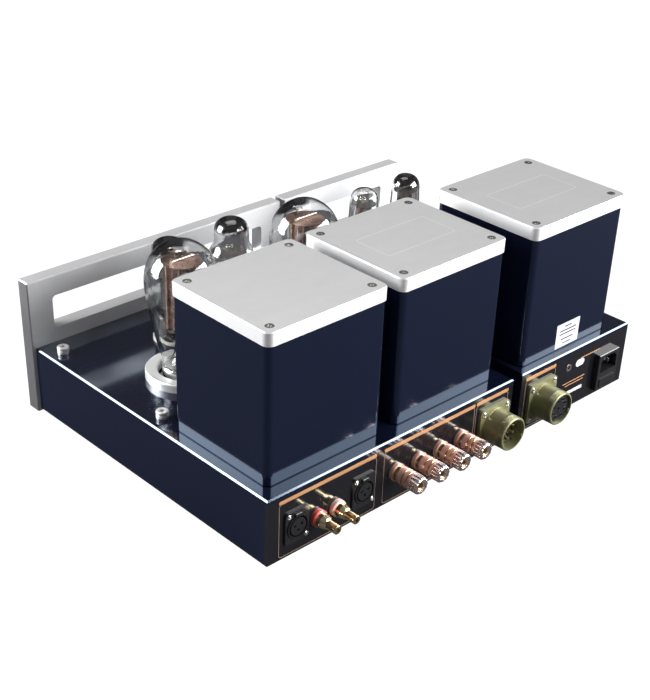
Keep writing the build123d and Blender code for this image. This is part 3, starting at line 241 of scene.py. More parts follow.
# ---------------------------------------------------------------- materials
class Finish:
    """A procedural material: a Principled shader fed by noise in the object's own coordinates."""

    def __init__(self, name, **sockets):
        self.material = bpy.data.materials.new(name)
        self.material.use_nodes = True
        self.tree = self.material.node_tree
        self.shader = self.tree.nodes["Principled BSDF"]
        self.coordinates = self.tree.nodes.new("ShaderNodeTexCoord")
        for socket, value in sockets.items():
            self.shader.inputs[socket.replace("_", " ")].default_value = value

    def feed(self, socket, source):
        """Connect a value or colour to a socket of the shader, by name."""
        self.tree.links.new(source, self.shader.inputs[socket])

    def node(self, kind, *sources, **settings):
        """A node with its settings made and its first inputs connected or set."""
        made = self.tree.nodes.new(kind)
        for key, value in settings.items():
            setattr(made, key, value)
        for socket, source in zip(made.inputs, sources):
            if isinstance(source, bpy.types.NodeSocket):
                self.tree.links.new(source, socket)
            else:
                socket.default_value = source
        return made

    def stretched(self, stretch):
        """Object coordinates multiplied along each axis."""
        mapping = self.node("ShaderNodeMapping", self.coordinates.outputs["Object"])
        mapping.inputs["Scale"].default_value = stretch
        return mapping.outputs["Vector"]

    def noise(self, scale, stretch=(1, 1, 1), detail=4.0, roughness=0.55):
        """Noise of a scale in cells per metre."""
        made = self.node("ShaderNodeTexNoise", self.stretched(stretch))
        made.inputs["Scale"].default_value = scale
        made.inputs["Detail"].default_value = detail
        made.inputs["Roughness"].default_value = roughness
        return made.outputs["Fac"]

    def cells(self, scale):
        """The distance field of a Voronoi pattern."""
        made = self.node("ShaderNodeTexVoronoi", self.stretched((1, 1, 1)))
        made.inputs["Scale"].default_value = scale
        return made.outputs["Distance"]

    def between(self, value, low, high, to_low=0.0, to_high=1.0):
        """A value mapped from one range to another, and held there."""
        return self.node("ShaderNodeMapRange", value, low, high, to_low, to_high).outputs[0]

    def maths(self, operation, first, second=0.0):
        """One step of arithmetic."""
        return self.node("ShaderNodeMath", first, second, operation=operation).outputs[0]

    def blend(self, factor, first, second):
        """A colour mixed from two others."""
        made = self.node("ShaderNodeMix", factor, data_type="RGBA")
        for socket, source in ((made.inputs[6], first), (made.inputs[7], second)):
            if isinstance(source, bpy.types.NodeSocket):
                self.tree.links.new(source, socket)
            else:
                socket.default_value = (*source, 1.0)
        return made.outputs[2]

    def relief(self, height, strength, distance):
        """Feed a bump map to the shader."""
        made = self.node("ShaderNodeBump")
        made.inputs["Strength"].default_value = strength
        made.inputs["Distance"].default_value = distance
        self.tree.links.new(height, made.inputs["Height"])
        self.feed("Normal", made.outputs["Normal"])

    def axis(self, index, coordinates="Object"):
        """One coordinate of the object's own space, or of its normal."""
        split = self.node("ShaderNodeSeparateXYZ", self.coordinates.outputs[coordinates])
        return split.outputs[index]


def toned(
    name, colour, roughness, grain=400.0, stretch=(1, 1, 1), tone=0.15, spread=0.08, depth=0.00004, **sockets
):
    """A material whose colour, roughness and relief all vary with one noise of the given grain.

    tone is the share by which the colour varies, spread how far the roughness does, and depth the height
    of the relief in metres.
    """
    made = Finish(name, **sockets)
    field = made.noise(grain, stretch)
    dark = [channel * (1 - tone) for channel in colour]
    light = [min(channel * (1 + tone), 1.0) for channel in colour]
    made.feed("Base Color", made.blend(field, dark, light))
    glossiest = max(roughness - spread, 0.02)
    made.feed("Roughness", made.between(field, 0.2, 0.8, glossiest, roughness + spread))
    made.relief(field, 0.5, depth)
    return made.material


COVER_SEAM_SHADE = 1.1              # height of the painted shade line where a transformer cover meets the deck: a near-black band for the shadow in the joint
BEVEL_NORMALS = (0.4, 0.95)   # the upward share of a 45 degree bevel's normal lies between these
END_NORMAL = 0.6              # a face whose normal has more than this along an axis faces along it
NAVY_SHEEN = (0.55, 0.74, 1.0, 1.0)
ENGRAVED_LINE = 0.7           # width of the outlines cut into two lids


def navy_anodising():
    """Dark navy, paler and metallic on the 45 degree bevels, with painted shade: a near-black line at the
    foot of the covers.
    """
    made = Finish("navy_anodised", IOR=1.60, Specular_Tint=NAVY_SHEEN, Coat_Weight=0.12, Coat_Roughness=0.05)
    fine = made.noise(2600.0, detail=2.0)
    broad = made.noise(9.0, detail=3.0)
    tone = made.blend(broad, (0.0010, 0.0016, 0.0058), (0.0017, 0.0026, 0.0086))
    speckled = made.blend(made.between(fine, 0.35, 0.7), tone, (0.0030, 0.0042, 0.0112))
    up = made.axis(2, "Normal")
    tilted = made.maths("GREATER_THAN", up, BEVEL_NORMALS[0])
    not_level = made.maths("LESS_THAN", up, BEVEL_NORMALS[1])
    bevel = made.maths("MULTIPLY", tilted, not_level)
    # painted shade: a near-black, fully metallic band on the covers just above the deck, standing in for the
    # shadow in the joint
    from_seam_shade = made.maths("SUBTRACT", made.axis(2), (DECK + COVER_SEAM_SHADE / 2) * MM)
    seam_shade = made.maths("LESS_THAN", made.maths("ABSOLUTE", from_seam_shade), 0.45 * COVER_SEAM_SHADE * MM)
    painted = made.blend(bevel, speckled, (0.060, 0.072, 0.088))
    made.feed("Base Color", made.blend(seam_shade, painted, (0.0008, 0.0012, 0.0022)))
    made.feed("Metallic", made.maths("MAXIMUM", bevel, seam_shade))
    made.feed("Roughness", made.between(fine, 0.25, 0.75, 0.08, 0.14))
    made.relief(fine, 0.2, 0.00001)
    return made.material


def brushed_aluminium():
    """Satin panels brushed along their length, with painted shade on their ends and, more weakly, on faces
    turned up or down: a darker colour there, with more metal and less roughness.
    """
    made = Finish("brushed_aluminium")
    lines = made.noise(90.0, (1, 34, 34), detail=6.0, roughness=0.7)
    cloud = made.noise(12.0, detail=3.0)
    # painted shade: end faces, and faces turned up or down at 0.4, get a darker colour with more metal and
    # less roughness, standing in for the shade they fall in
    ends = made.maths("GREATER_THAN", made.maths("ABSOLUTE", made.axis(0, "Normal")), END_NORMAL)
    tops = made.maths("GREATER_THAN", made.maths("ABSOLUTE", made.axis(2, "Normal")), END_NORMAL)
    painted_shade_faces = made.maths("MAXIMUM", ends, made.maths("MULTIPLY", tops, 0.4))
    brushed = made.blend(lines, (0.62, 0.62, 0.63), (0.86, 0.86, 0.87))
    # cut is the darker colour of the painted shade on those faces
    cut = made.blend(lines, (0.40, 0.40, 0.41), (0.52, 0.52, 0.53))
    made.feed("Base Color", made.blend(painted_shade_faces, brushed, cut))
    made.feed("Metallic", made.between(painted_shade_faces, 0.0, 1.0, 0.45, 1.0))
    worn = made.between(cloud, 0.3, 0.7, 0.0, 0.06)
    rough = made.maths("ADD", made.between(lines, 0.25, 0.75, 0.34, 0.48), worn)
    made.feed("Roughness", made.maths("SUBTRACT", rough, made.maths("MULTIPLY", painted_shade_faces, 0.12)))
    made.relief(lines, 0.35, 0.00005)
    return made.material


def rounded_frame(made, middle_x, middle_y, width, depth, corner):
    """1 on a fine rounded outline about a middle, seen from above, and 0 elsewhere."""
    from_x = made.maths("ABSOLUTE", made.maths("SUBTRACT", made.axis(0), middle_x * MM))
    from_y = made.maths("ABSOLUTE", made.maths("SUBTRACT", made.axis(1), middle_y * MM))
    out_x = made.maths("SUBTRACT", from_x, (width / 2 - corner) * MM)
    out_y = made.maths("SUBTRACT", from_y, (depth / 2 - corner) * MM)
    square_x = made.maths("POWER", made.maths("MAXIMUM", out_x, 0.0), 2.0)
    square_y = made.maths("POWER", made.maths("MAXIMUM", out_y, 0.0), 2.0)
    past = made.maths("SQRT", made.maths("ADD", square_x, square_y))
    inside = made.maths("MINIMUM", made.maths("MAXIMUM", out_x, out_y), 0.0)
    edge = made.maths("SUBTRACT", made.maths("ADD", past, inside), corner * MM)
    return made.maths("LESS_THAN", made.maths("ABSOLUTE", edge), ENGRAVED_LINE / 2 * MM)


def blasted_aluminium(engraved):
    """Bead-blasted lids; engraved lists (x, y, width, depth, corner) of the outlines cut into their tops."""
    made = Finish("blasted_aluminium", Metallic=0.90)
    beads = made.noise(3200.0, detail=3.0, roughness=0.6)
    cloud = made.noise(25.0, (1, 3, 1), detail=4.0)
    base = made.blend(beads, (0.68, 0.68, 0.685), (0.80, 0.80, 0.805))
    base = made.blend(made.between(cloud, 0.3, 0.7, 0.0, 0.35), base, (0.82, 0.82, 0.83))
    marks = 0.0
    for outline in engraved:
        marks = made.maths("MAXIMUM", rounded_frame(made, *outline), marks)
    made.feed("Base Color", made.blend(marks, base, (0.93, 0.93, 0.93)))
    made.feed("Roughness", made.between(beads, 0.25, 0.75, 0.40, 0.50))
    cut = made.maths("SUBTRACT", beads, made.maths("MULTIPLY", marks, 2.0))
    made.relief(cut, 0.5, 0.00005)
    return made.material


def turned_metal(name, colour, roughness):
    """Turned and plated metal with a very fine, even grain."""
    return toned(name, colour, roughness, 2400.0, tone=0.10, spread=0.06, depth=0.00002, Metallic=1.0)


def blown_glass():
    """Clear blown glass with a faint unevenness."""
    made = Finish("clear_glass", Transmission_Weight=1.0, IOR=1.47)
    ripple = made.noise(18.0, detail=2.0)
    made.feed("Base Color", made.blend(ripple, (0.97, 0.985, 0.98), (1.0, 1.0, 1.0)))
    made.feed("Roughness", made.between(ripple, 0.3, 0.7, 0.0, 0.01))
    made.relief(ripple, 0.2, 0.0006)
    return made.material


RAGGED_EDGE = 1.2    # how far the edge of a getter film wanders up and down


def getter(name, edge, core, middle=0.0, lean=0.0):
    """The silvered film inside a crown, opaque above the height core and gone below edge.

    lean tips the film to the front, by that much height for each unit of distance in front of middle.
    """
    made = Finish(name, Metallic=1.0)
    ahead = made.maths("SUBTRACT", middle * MM, made.axis(1))
    height = made.maths("ADD", made.axis(2), made.maths("MULTIPLY", ahead, lean))
    ragged = made.between(made.noise(140.0, detail=3.0), 0.3, 0.7, -RAGGED_EDGE * MM, RAGGED_EDGE * MM)
    ragged = made.maths("ADD", height, ragged)
    cover = made.between(ragged, edge * MM, core * MM)
    made.feed("Base Color", made.blend(cover, (0.16, 0.10, 0.07), (0.085, 0.082, 0.085)))
    made.feed("Roughness", made.between(made.noise(300.0), 0.3, 0.7, 0.05, 0.12))
    made.feed("Alpha", cover)
    return made.material


def plate_metal(name, dark, light, holes):
    """Anode sheet: blotched oxide tones with a punched pattern, in holes per metre."""
    made = Finish(name, Metallic=0.85)
    blotch = made.noise(90.0, detail=5.0, roughness=0.65)
    punched = made.between(made.cells(holes), 0.12, 0.30)
    tone = made.blend(made.between(blotch, 0.35, 0.65), dark, light)
    made.feed("Base Color", made.blend(punched, [channel * 0.35 for channel in dark], tone))
    made.feed("Roughness", made.between(blotch, 0.3, 0.7, 0.28, 0.50))
    made.relief(punched, 0.8, 0.0003)
    return made.material


def insulator_pair(split):
    """Phono collars: red on one side of the split and ivory on the other, in millimetres along X."""
    made = Finish("jack_insulator", Coat_Weight=0.4)
    grain = made.noise(900.0)
    side = made.maths("GREATER_THAN", made.axis(0), split * MM)
    colour = made.blend(side, (0.70, 0.44, 0.38), (0.52, 0.06, 0.05))
    made.feed("Base Color", made.blend(made.between(grain, 0.3, 0.7, 0.0, 0.2), colour, (0.45, 0.30, 0.26)))
    made.feed("Roughness", made.between(grain, 0.3, 0.7, 0.24, 0.34))
    made.relief(grain, 0.3, 0.00002)
    return made.material


def olive_chromate():
    """Olive drab chromated alloy, a little worn to brighter metal on fine high spots."""
    made = Finish("olive_chromate", Metallic=0.55)
    fine = made.noise(1500.0, detail=3.0)
    blotch = made.noise(70.0, detail=4.0)
    tone = made.blend(blotch, (0.150, 0.150, 0.075), (0.225, 0.222, 0.120))
    made.feed("Base Color", made.blend(made.between(fine, 0.6, 0.8), tone, (0.40, 0.39, 0.26)))
    made.feed("Roughness", made.between(fine, 0.3, 0.7, 0.30, 0.42))
    made.relief(fine, 0.4, 0.00003)
    return made.material


NAVY = navy_anodising()
BLACK_PANEL = toned(
    "black_panel", (0.004, 0.004, 0.005), 0.12, 1800.0, tone=0.35, spread=0.04, depth=0.00002,
    Coat_Weight=0.3,
)
BRUSHED = brushed_aluminium()
BRIGHT = turned_metal("bright_metal", (0.86, 0.86, 0.86), 0.20)
SATIN = toned("satin_metal", (0.80, 0.80, 0.80), 0.36, 1600.0, tone=0.06, depth=0.00002, Metallic=0.75)
SCREW = turned_metal("screw_steel", (0.72, 0.71, 0.69), 0.22)
RUBBER = toned("rubber", (0.018, 0.018, 0.018), 0.72, 900.0, tone=0.3)
LAMINATION = toned("laminations", (0.20, 0.19, 0.18), 0.45, 120.0, (1, 40, 1), 0.4, Metallic=0.7)
CERAMIC = toned("ceramic", (0.78, 0.76, 0.71), 0.35, 700.0, tone=0.06)
BOARD = toned("circuit_board", (0.03, 0.14, 0.07), 0.40, 500.0, tone=0.3)
SLEEVE = toned("capacitor_sleeve", (0.03, 0.03, 0.035), 0.35, 500.0, tone=0.3)
PLASTIC = toned("black_plastic", (0.007, 0.007, 0.008), 0.24, 2200.0, tone=0.3, depth=0.00003)
GILT = turned_metal("gilt", (0.86, 0.62, 0.26), 0.20)
PALE_GILT = turned_metal("pale_gilt", (0.94, 0.76, 0.46), 0.18)
COPPER = turned_metal("copper", (0.92, 0.56, 0.44), 0.24)
ROSE = turned_metal("rose_metal", (0.95, 0.77, 0.72), 0.24)
OLIVE = olive_chromate()
CLEAR = blown_glass()
JACKET = toned(
    "clear_jacket", (0.80, 0.46, 0.40), 0.08, 60.0, tone=0.08, spread=0.05,
    Transmission_Weight=0.5, Coat_Weight=1.0, Coat_Roughness=0.03,
)
MICA = toned("mica", (0.13, 0.12, 0.115), 0.22, 300.0, tone=0.35)
NICKEL = turned_metal("nickel_wire", (0.66, 0.63, 0.58), 0.24)
WARM_PLATE = plate_metal("output_plate", (0.36, 0.20, 0.15), (0.86, 0.62, 0.52), 360.0)
DARK_PLATE = plate_metal("small_plate", (0.05, 0.048, 0.05), (0.20, 0.19, 0.19), 700.0)
BROWN_PLATE = plate_metal("rectifier_plate", (0.07, 0.055, 0.045), (0.24, 0.19, 0.155), 700.0)
PHENOLIC = toned("phenolic", (0.022, 0.016, 0.014), 0.30, 600.0, tone=0.4, Coat_Weight=0.3)
PRINT = toned("copper_print", (0.37, 0.180, 0.078), 0.38, 1500.0, tone=0.12, Metallic=0.35)
PRINT_LINE = toned("print_line", (0.22, 0.15, 0.11), 0.40, 1500.0, tone=0.15, Metallic=0.3)
LABEL = toned("blank_label", (0.36, 0.36, 0.385), 0.45, 800.0, tone=0.05)

ENGRAVED_SIZE = (82.0, 40.0, 3.0)   # width, depth and corner radius


def engraved_outlines():
    """The outlines on the left output lid and the power transformer lid, where marks would be engraved."""
    power_low, power_high = node_box("power_transformer_lid")
    half_lid = (power_high.x - power_low.x) / 2
    outlines = []
    for node in ("output_transformer_lids", "power_transformer_lid"):
        low, high = node_box(node)
        outlines.append((low.x + half_lid, (low.y + high.y) / 2, *ENGRAVED_SIZE))
    return outlines


BLASTED = blasted_aluminium(engraved_outlines())
INSULATOR = insulator_pair(node_middle("rca_insulators").x)


# ---------------------------------------------------------------- finishes of the CAD nodes
def dress(material, *nodes):
    """Give CAD nodes one of the materials above."""
    for name in nodes:
        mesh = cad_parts[name].data
        mesh.materials.clear()
        mesh.materials.append(material)


dress(NAVY, "amp_chassis", "psu_chassis", "output_transformer_covers", "power_transformer_cover")
dress(BLACK_PANEL, "amp_rear_panel", "psu_rear_panel", "amp_bottom_cover", "psu_bottom_cover")
dress(BRUSHED, "amp_front_panel", "psu_front_panel")
dress(BLASTED, "output_transformer_lids", "power_transformer_lid")
dress(SATIN, "output_tube_collars", "amp_cage_receptacles", "power_button")
dress(SCREW, "amp_screws", "psu_screws")
dress(RUBBER, "amp_feet", "psu_feet")
dress(LAMINATION, "output_transformers", "power_transformer", "filter_choke")
dress(CERAMIC, "amp_tube_sockets", "rectifier_tube_sockets")
dress(BOARD, "amplifier_board")
dress(SLEEVE, "filter_capacitors")
dress(PLASTIC, "xlr_sockets", "mains_inlet", "fuse_drawer", "power_switch")
dress(PLASTIC, "amp_connector_insert", "psu_connector_insert")
dress(GILT, "binding_post_stems")
dress(PALE_GILT, "rca_jacks")
dress(INSULATOR, "rca_insulators")
dress(JACKET, "binding_post_insulators")
dress(OLIVE, "amp_connector_shell", "psu_connector_shell")
dress(PLASTIC, "xlr_latch_right", "xlr_latch_left")
for post in POSTS:
    dress(ROSE, f"post_washer_{post}")
for valve_kind in ("output", "driver", "rectifier"):
    for valve_side in SIDES:
        dress(CLEAR, f"{valve_kind}_tube_{valve_side}_glass")


# ---------------------------------------------------------------- valves
PLATE, SPACER, WIRE, LEAD = range(4)   # the materials of the electrodes, in the order that they are given
BASE_BODY, BASE_PIN = range(2)
PIN_LENGTH = 11.9
TOOTH_DEPTH = 0.045                    # of a spacer's radius
SPACER_THICKNESS = 0.8
FILM_DEPTH = 1.25                      # from the outside of the glass to the film


def pins(shape, place, count, circle, radius, top):
    """Contact pins under a base, their ends rounded."""
    for index in range(count):
        angle = tau * (index + 0.5) / count
        at = place @ Matrix.Translation((circle * cos(angle), circle * sin(angle), top))
        tip = [(0, -PIN_LENGTH), (radius * 0.6, 0.15 - PIN_LENGTH), (radius, 0.9 - PIN_LENGTH)]
        shape.turn(at, tip + [(radius, 0)], BASE_PIN, steps=16)


def disc(shape, place, radius, z, thickness, tint, teeth):
    """A spacer with small teeth round its edge."""
    def toothed(reach, height, angle):
        return reach * (1 - TOOTH_DEPTH * (0.5 + 0.5 * cos(teeth * angle)) ** 0.5)

    outline = [(0, z), (radius, z), (radius, z + thickness), (0, z + thickness)]
    shape.turn(place, outline, tint, steps=96, flute=toothed)


def plate(shape, place, section, low, high, rib, ribs):
    """An anode box of a closed section, with pressed ribs across it."""
    rings = []
    levels = 2 + 8 * ribs
    for level in range(levels):
        share = level / (levels - 1)
        swell = 1 + rib * max(0.0, cos(tau * ribs * share)) ** 4
        z = low + (high - low) * share
        rings.append([(x, y * swell, z) for x, y in section])
    shape.loft(place, rings, PLATE)


def mirrored(half):
    """A closed section made from the points of its upper half, left to right."""
    return half + [(x, -y) for x, y in reversed(half)]


# The anode of an output valve: a flat flange at each end of a box with two pressed ridges a side.
OUTPUT_SECTION = mirrored([
    (-17.0, 1.0), (-14.6, 1.0), (-13.4, 5.4), (-9.4, 6.6), (-8.6, 8.0), (-6.4, 8.0), (-5.6, 6.6),
    (5.6, 6.6), (6.4, 8.0), (8.6, 8.0), (9.4, 6.6), (13.4, 5.4), (14.6, 1.0), (17.0, 1.0),
])
ANODE_LOW = 52.0         # heights above the deck
ANODE_HIGH = 111.0
BAR_HIGH = 115.0
HOOK_HIGH = 116.0
ROD_REACH = 18.6         # distances across the valve
BAR_REACH = 12.0
BAR_LEGS = 11.0
BAR_BACK = 2.2
HOOK_PLACES = (-9.0, -3.0, 3.0, 9.0)
HOOK_SPAN = 2.4
GETTER_HIGH = 118.0
GETTER_AHEAD = 11.0


def output_electrodes(shape, place):
    """The folded anode, spacers, support rods, filament hooks and getter ring of an output valve."""
    plate(shape, place, OUTPUT_SECTION, ANODE_LOW, ANODE_HIGH, rib=0.06, ribs=5)
    disc(shape, place, 19.0, ANODE_LOW - 1.4, SPACER_THICKNESS, SPACER, teeth=28)
    disc(shape, place, 18.0, ANODE_HIGH + 0.4, SPACER_THICKNESS, PLATE, teeth=28)
    for x in (-ROD_REACH, ROD_REACH):
        rod = [(x * 0.45, 0, 36.0), (x, 0, 46.0), (x, 0, 50.0), (x, 0, ANODE_HIGH + 2.0)]
        shape.wire(place, rod, 0.75, WIRE)
    for x in HOOK_PLACES:
        bend = (x + HOOK_SPAN / 2, 0, HOOK_HIGH + 1.0)
        rise = [(x, 0, ANODE_HIGH), (x, 0, HOOK_HIGH)]
        fall = [(x + HOOK_SPAN, 0, HOOK_HIGH), (x + HOOK_SPAN, 0, ANODE_HIGH)]
        shape.wire(place, rise + [bend] + fall, 0.35, WIRE)
    shape.wire(place, [(-BAR_REACH, BAR_BACK, BAR_HIGH), (BAR_REACH, BAR_BACK, BAR_HIGH)], 0.6, WIRE)
    for x in (-BAR_LEGS, BAR_LEGS):
        shape.wire(place, [(x, BAR_BACK, ANODE_HIGH), (x, BAR_BACK, BAR_HIGH)], 0.6, WIRE)
    stalk = [(0, -8.0, ANODE_HIGH), (0, -GETTER_AHEAD, GETTER_HIGH - 3.0), (0, -GETTER_AHEAD, GETTER_HIGH)]
    shape.wire(place, stalk, 0.45, WIRE)
    shape.wire(place, circle_path(4.4, GETTER_HIGH + 0.5, y=-GETTER_AHEAD), 0.7, WIRE, closed=True)


def output_stem(shape, place):
    """The flared glass stem and the flat press above it."""
    flare = smooth_outline([(16.5, 12.4), (13.0, 15.0), (9.6, 21.0), (8.2, 28.0), (7.4, 34.0)])
    inner = [(radius - 0.9, height) for radius, height in reversed(flare)]
    shape.turn(place, flare + inner, closed=True)
    at = place @ Matrix.Translation((0, 0, 37.0))
    shape.slab(at, 17.0, 5.4, 2.2, -4.2, 3.0, 1.0)


def lead_wires(shape, place, spread, low, high, tint, count=4):
    """The leads that rise through the stem to the electrodes."""
    for index in range(count):
        x = spread * (2 * index / (count - 1) - 1)
        shape.wire(place, [(x * 0.8, 0, low), (x, 0, (low + high) / 2), (x * 1.25, 0, high)], 0.55, tint)


def film(shape, place, crown, bottom):
    """A thin film just inside the glass of a crown, from a height up to its top."""
    curve = [point for point in smooth_outline(crown) if point[1] >= bottom]
    inner = []
    for radius, height in curve[:-1]:
        drop = FILM_DEPTH * (0.75 if radius < 6 else 0.3)
        if radius - FILM_DEPTH > 0.3:
            inner.append((radius - FILM_DEPTH, height - drop))
    inner.append((0.0, curve[-1][1] - FILM_DEPTH))
    shape.turn(place, inner)


# The upper outlines of the envelopes as radius and height above the deck, and where each film begins.
OUTPUT_CROWN = [(32.8, 93.0), (30.9, 107.0), (24.6, 119.0), (13.5, 127.5), (0, 130.0)]
DRIVER_CROWN = [(16.8, 82.0), (16.6, 90.0), (13.2, 97.0), (6.5, 100.6), (0, 101.4)]
RECTIFIER_CROWN = [(14.8, 62.0), (14.8, 70.0), (13.4, 78.5), (8.4, 83.8), (0, 85.3)]
OUTPUT_FILM_LOW = 106.0
DRIVER_FILM_LOW = 86.5
RECTIFIER_FILM_LOW = 72.0
OUTPUT_VALVE_Y = node_middle("output_tube_right_glass").y
OUTPUT_FILM = getter("output_getter", DECK + 131.0, DECK + 135.0, middle=OUTPUT_VALVE_Y, lean=0.9)
DRIVER_FILM = getter("driver_getter", DECK + 88.0, DECK + 92.0)
RECTIFIER_FILM = getter("rectifier_getter", DECK + 73.0, DECK + 78.0)
FAINT_FILM = getter("faint_getter", DECK + 80.0, DECK + 86.0)


def output_valve(side):
    """Everything inside and under the envelope of one output valve."""
    valve = f"output_tube_{side}"
    stands_for = (f"{valve}_base",)
    middle = node_middle(f"{valve}_glass")
    place = upright(middle.x, middle.y, DECK)
    base = Shape()
    base.turn(place, [
        (0, -15.9), (19.2, -15.9), (19.9, -15.2), (19.9, -3.0), (19.3, -2.6), (19.3, 6.4), (19.9, 6.8),
        (19.9, 10.4), (19.2, 11.6), (18.6, 12.0), (0, 12.0),
    ], BASE_BODY)
    pins(base, place, 4, 8.2, 2.0, -15.9)
    base.build(f"{valve}_cap", valve, "tube_base", BRIGHT, GILT, replaces=stands_for)
    electrodes = Shape()
    output_electrodes(electrodes, place)
    lead_wires(electrodes, place, 5.5, 12.0, ANODE_LOW - 1.0, LEAD)
    electrodes.build(
        f"{valve}_electrodes", valve, "tube_base", WARM_PLATE, MICA, NICKEL, COPPER, replaces=stands_for
    )
    stem = Shape()
    output_stem(stem, place)
    stem.build(f"{valve}_stem", valve, "tube_glass", CLEAR)
    crown = Shape()
    film(crown, place, OUTPUT_CROWN, OUTPUT_FILM_LOW)
    crown.build(f"{valve}_getter", valve, "tube_glass", OUTPUT_FILM)


OCTAL_FOOT = 3.0         # height of an octal base's underside above the deck
OCTAL_RADIUS = 16.4
OCTAL_WAIST = 15.9


def small_base(shape, place, top):
    """A moulded octal base with its spigot and pins."""
    shape.turn(place, [
        (0, OCTAL_FOOT), (15.8, OCTAL_FOOT), (OCTAL_RADIUS, 3.6), (OCTAL_RADIUS, 8.0), (OCTAL_WAIST, 8.5),
        (OCTAL_WAIST, top - 3.0), (OCTAL_RADIUS, top - 2.5), (OCTAL_RADIUS, top - 0.8), (15.6, top), (0, top),
    ], BASE_BODY)
    shape.turn(place, [(0, -10.9), (3.2, -10.9), (3.8, -10.0), (3.8, OCTAL_FOOT)], BASE_BODY, steps=24)
    pins(shape, place, 8, 8.75, 1.2, OCTAL_FOOT)


def small_electrodes(shape, place, low, high, half_width, half_depth, spacer, paired):
    """Two triode cylinders or one diode box between mica spacers, with rods and a getter ring."""
    reach = half_width * 0.52
    for x in (-reach, reach) if paired else (0,):
        width = 2 * reach * 0.94 if paired else 2 * half_width
        at = place @ Matrix.Translation((x, 0, 0))
        plate(shape, at, rounded(width, 2 * half_depth, half_depth * 0.55), low, high, rib=0.08, ribs=3)
        for y in (-half_depth - 0.8, half_depth + 0.8):
            shape.wire(at, [(0, y, low - 2.0), (0, y, high + 2.5)], 0.4, WIRE)
    for level in (low - 1.2, high + 0.6):
        disc(shape, place, spacer, level, 0.6, SPACER, teeth=20)
    for x in (-half_width - 1.4, half_width + 1.4):
        shape.wire(place, [(x, 0, low - 6.0), (x, 0, high + 3.5)], 0.6, WIRE)
    shape.wire(place, [(0, 0, high + 1.0), (0, 0, high + 5.0), (2.5, 0, high + 7.0)], 0.4, WIRE)
    shape.wire(place, circle_path(3.6, high + 7.2, steps=24, x=2.5), 0.5, WIRE, closed=True)


def small_stem(shape, place, low, high):
    """The glass stem of a small valve."""
    foot = low + 0.4
    flare = [(12.0, foot), (9.0, low + 1.6), (6.8, low + 4.0), (6.0, high - 1.5), (3.0, high), (0, high)]
    shape.turn(place, [(0, foot)] + smooth_outline(flare))


def small_valve(kind, side, top, cage, crown, bottom, plate_material, film_material, paired):
    """The moulded base, electrodes, stem and getter film of a driver or rectifier valve."""
    valve = f"{kind}_tube_{side}"
    stands_for = (f"{valve}_base",)
    middle = node_middle(f"{valve}_glass")
    place = upright(middle.x, middle.y, DECK)
    base = Shape()
    small_base(base, place, top)
    base.build(f"{valve}_cap", valve, "tube_base", PHENOLIC, GILT, replaces=stands_for)
    low, high, half_width, half_depth, spacer = cage
    electrodes = Shape()
    small_electrodes(electrodes, place, low, high, half_width, half_depth, spacer, paired)
    lead_wires(electrodes, place, 4.5, low - 7.0, low, WIRE)
    electrodes.build(
        f"{valve}_electrodes", valve, "tube_base", plate_material, MICA, NICKEL, replaces=stands_for
    )
    stem = Shape()
    small_stem(stem, place, top, low - 4.0)
    stem.build(f"{valve}_stem", valve, "tube_glass", CLEAR)
    dome = Shape()
    film(dome, place, crown, bottom)
    dome.build(f"{valve}_getter", valve, "tube_glass", film_material)


# Electrode cages as low, high, half width, half depth and spacer radius, and the tops of the bases.
DRIVER_CAGE = (38.0, 66.0, 10.5, 5.5, 14.8)
RECTIFIER_CAGE = (36.0, 68.0, 8.5, 5.0, 12.6)
DRIVER_BASE_TOP = 26.0
RECTIFIER_BASE_TOP = 28.0
for valve_side in SIDES:
    output_valve(valve_side)
    small_valve(
        "driver", valve_side, DRIVER_BASE_TOP, DRIVER_CAGE, DRIVER_CROWN, DRIVER_FILM_LOW,
        DARK_PLATE, DRIVER_FILM, paired=True,
    )
    small_valve(
        "rectifier", valve_side, RECTIFIER_BASE_TOP, RECTIFIER_CAGE, RECTIFIER_CROWN, RECTIFIER_FILM_LOW,
        BROWN_PLATE, FAINT_FILM if valve_side == "right" else RECTIFIER_FILM, paired=False,
    )


# ---------------------------------------------------------------- speaker posts
CAP_BORE = 3.48          # radii
CAP_CORE = 6.4
CAP_WAIST = 5.7
CAP_JACKET = 8.35
CAP_RIM = 8.45
CORE_LOW = 7.6           # heights above the rear panel
CORE_HIGH = 20.6
GRIP_LOW = 20.7
RING_LOWS = (13.2, 18.2)
RING_HEIGHT = 1.1
JACKETS = ((7.7, 13.1), (14.4, 18.1), (19.4, 21.6))
FLUTES = 12
FLUTE_DEPTH = 0.11       # of the radius
FLUTED_ABOVE = 22.2
FLUTED_BEYOND = 7.0


def fluted(radius, height, angle):
    """The radius of the grip at an angle, scalloped where it is wide."""
    if radius > FLUTED_BEYOND and height > FLUTED_ABOVE:
        return radius * (1 - FLUTE_DEPTH * (0.5 - 0.5 * cos(FLUTES * angle)) ** 2)
    return radius


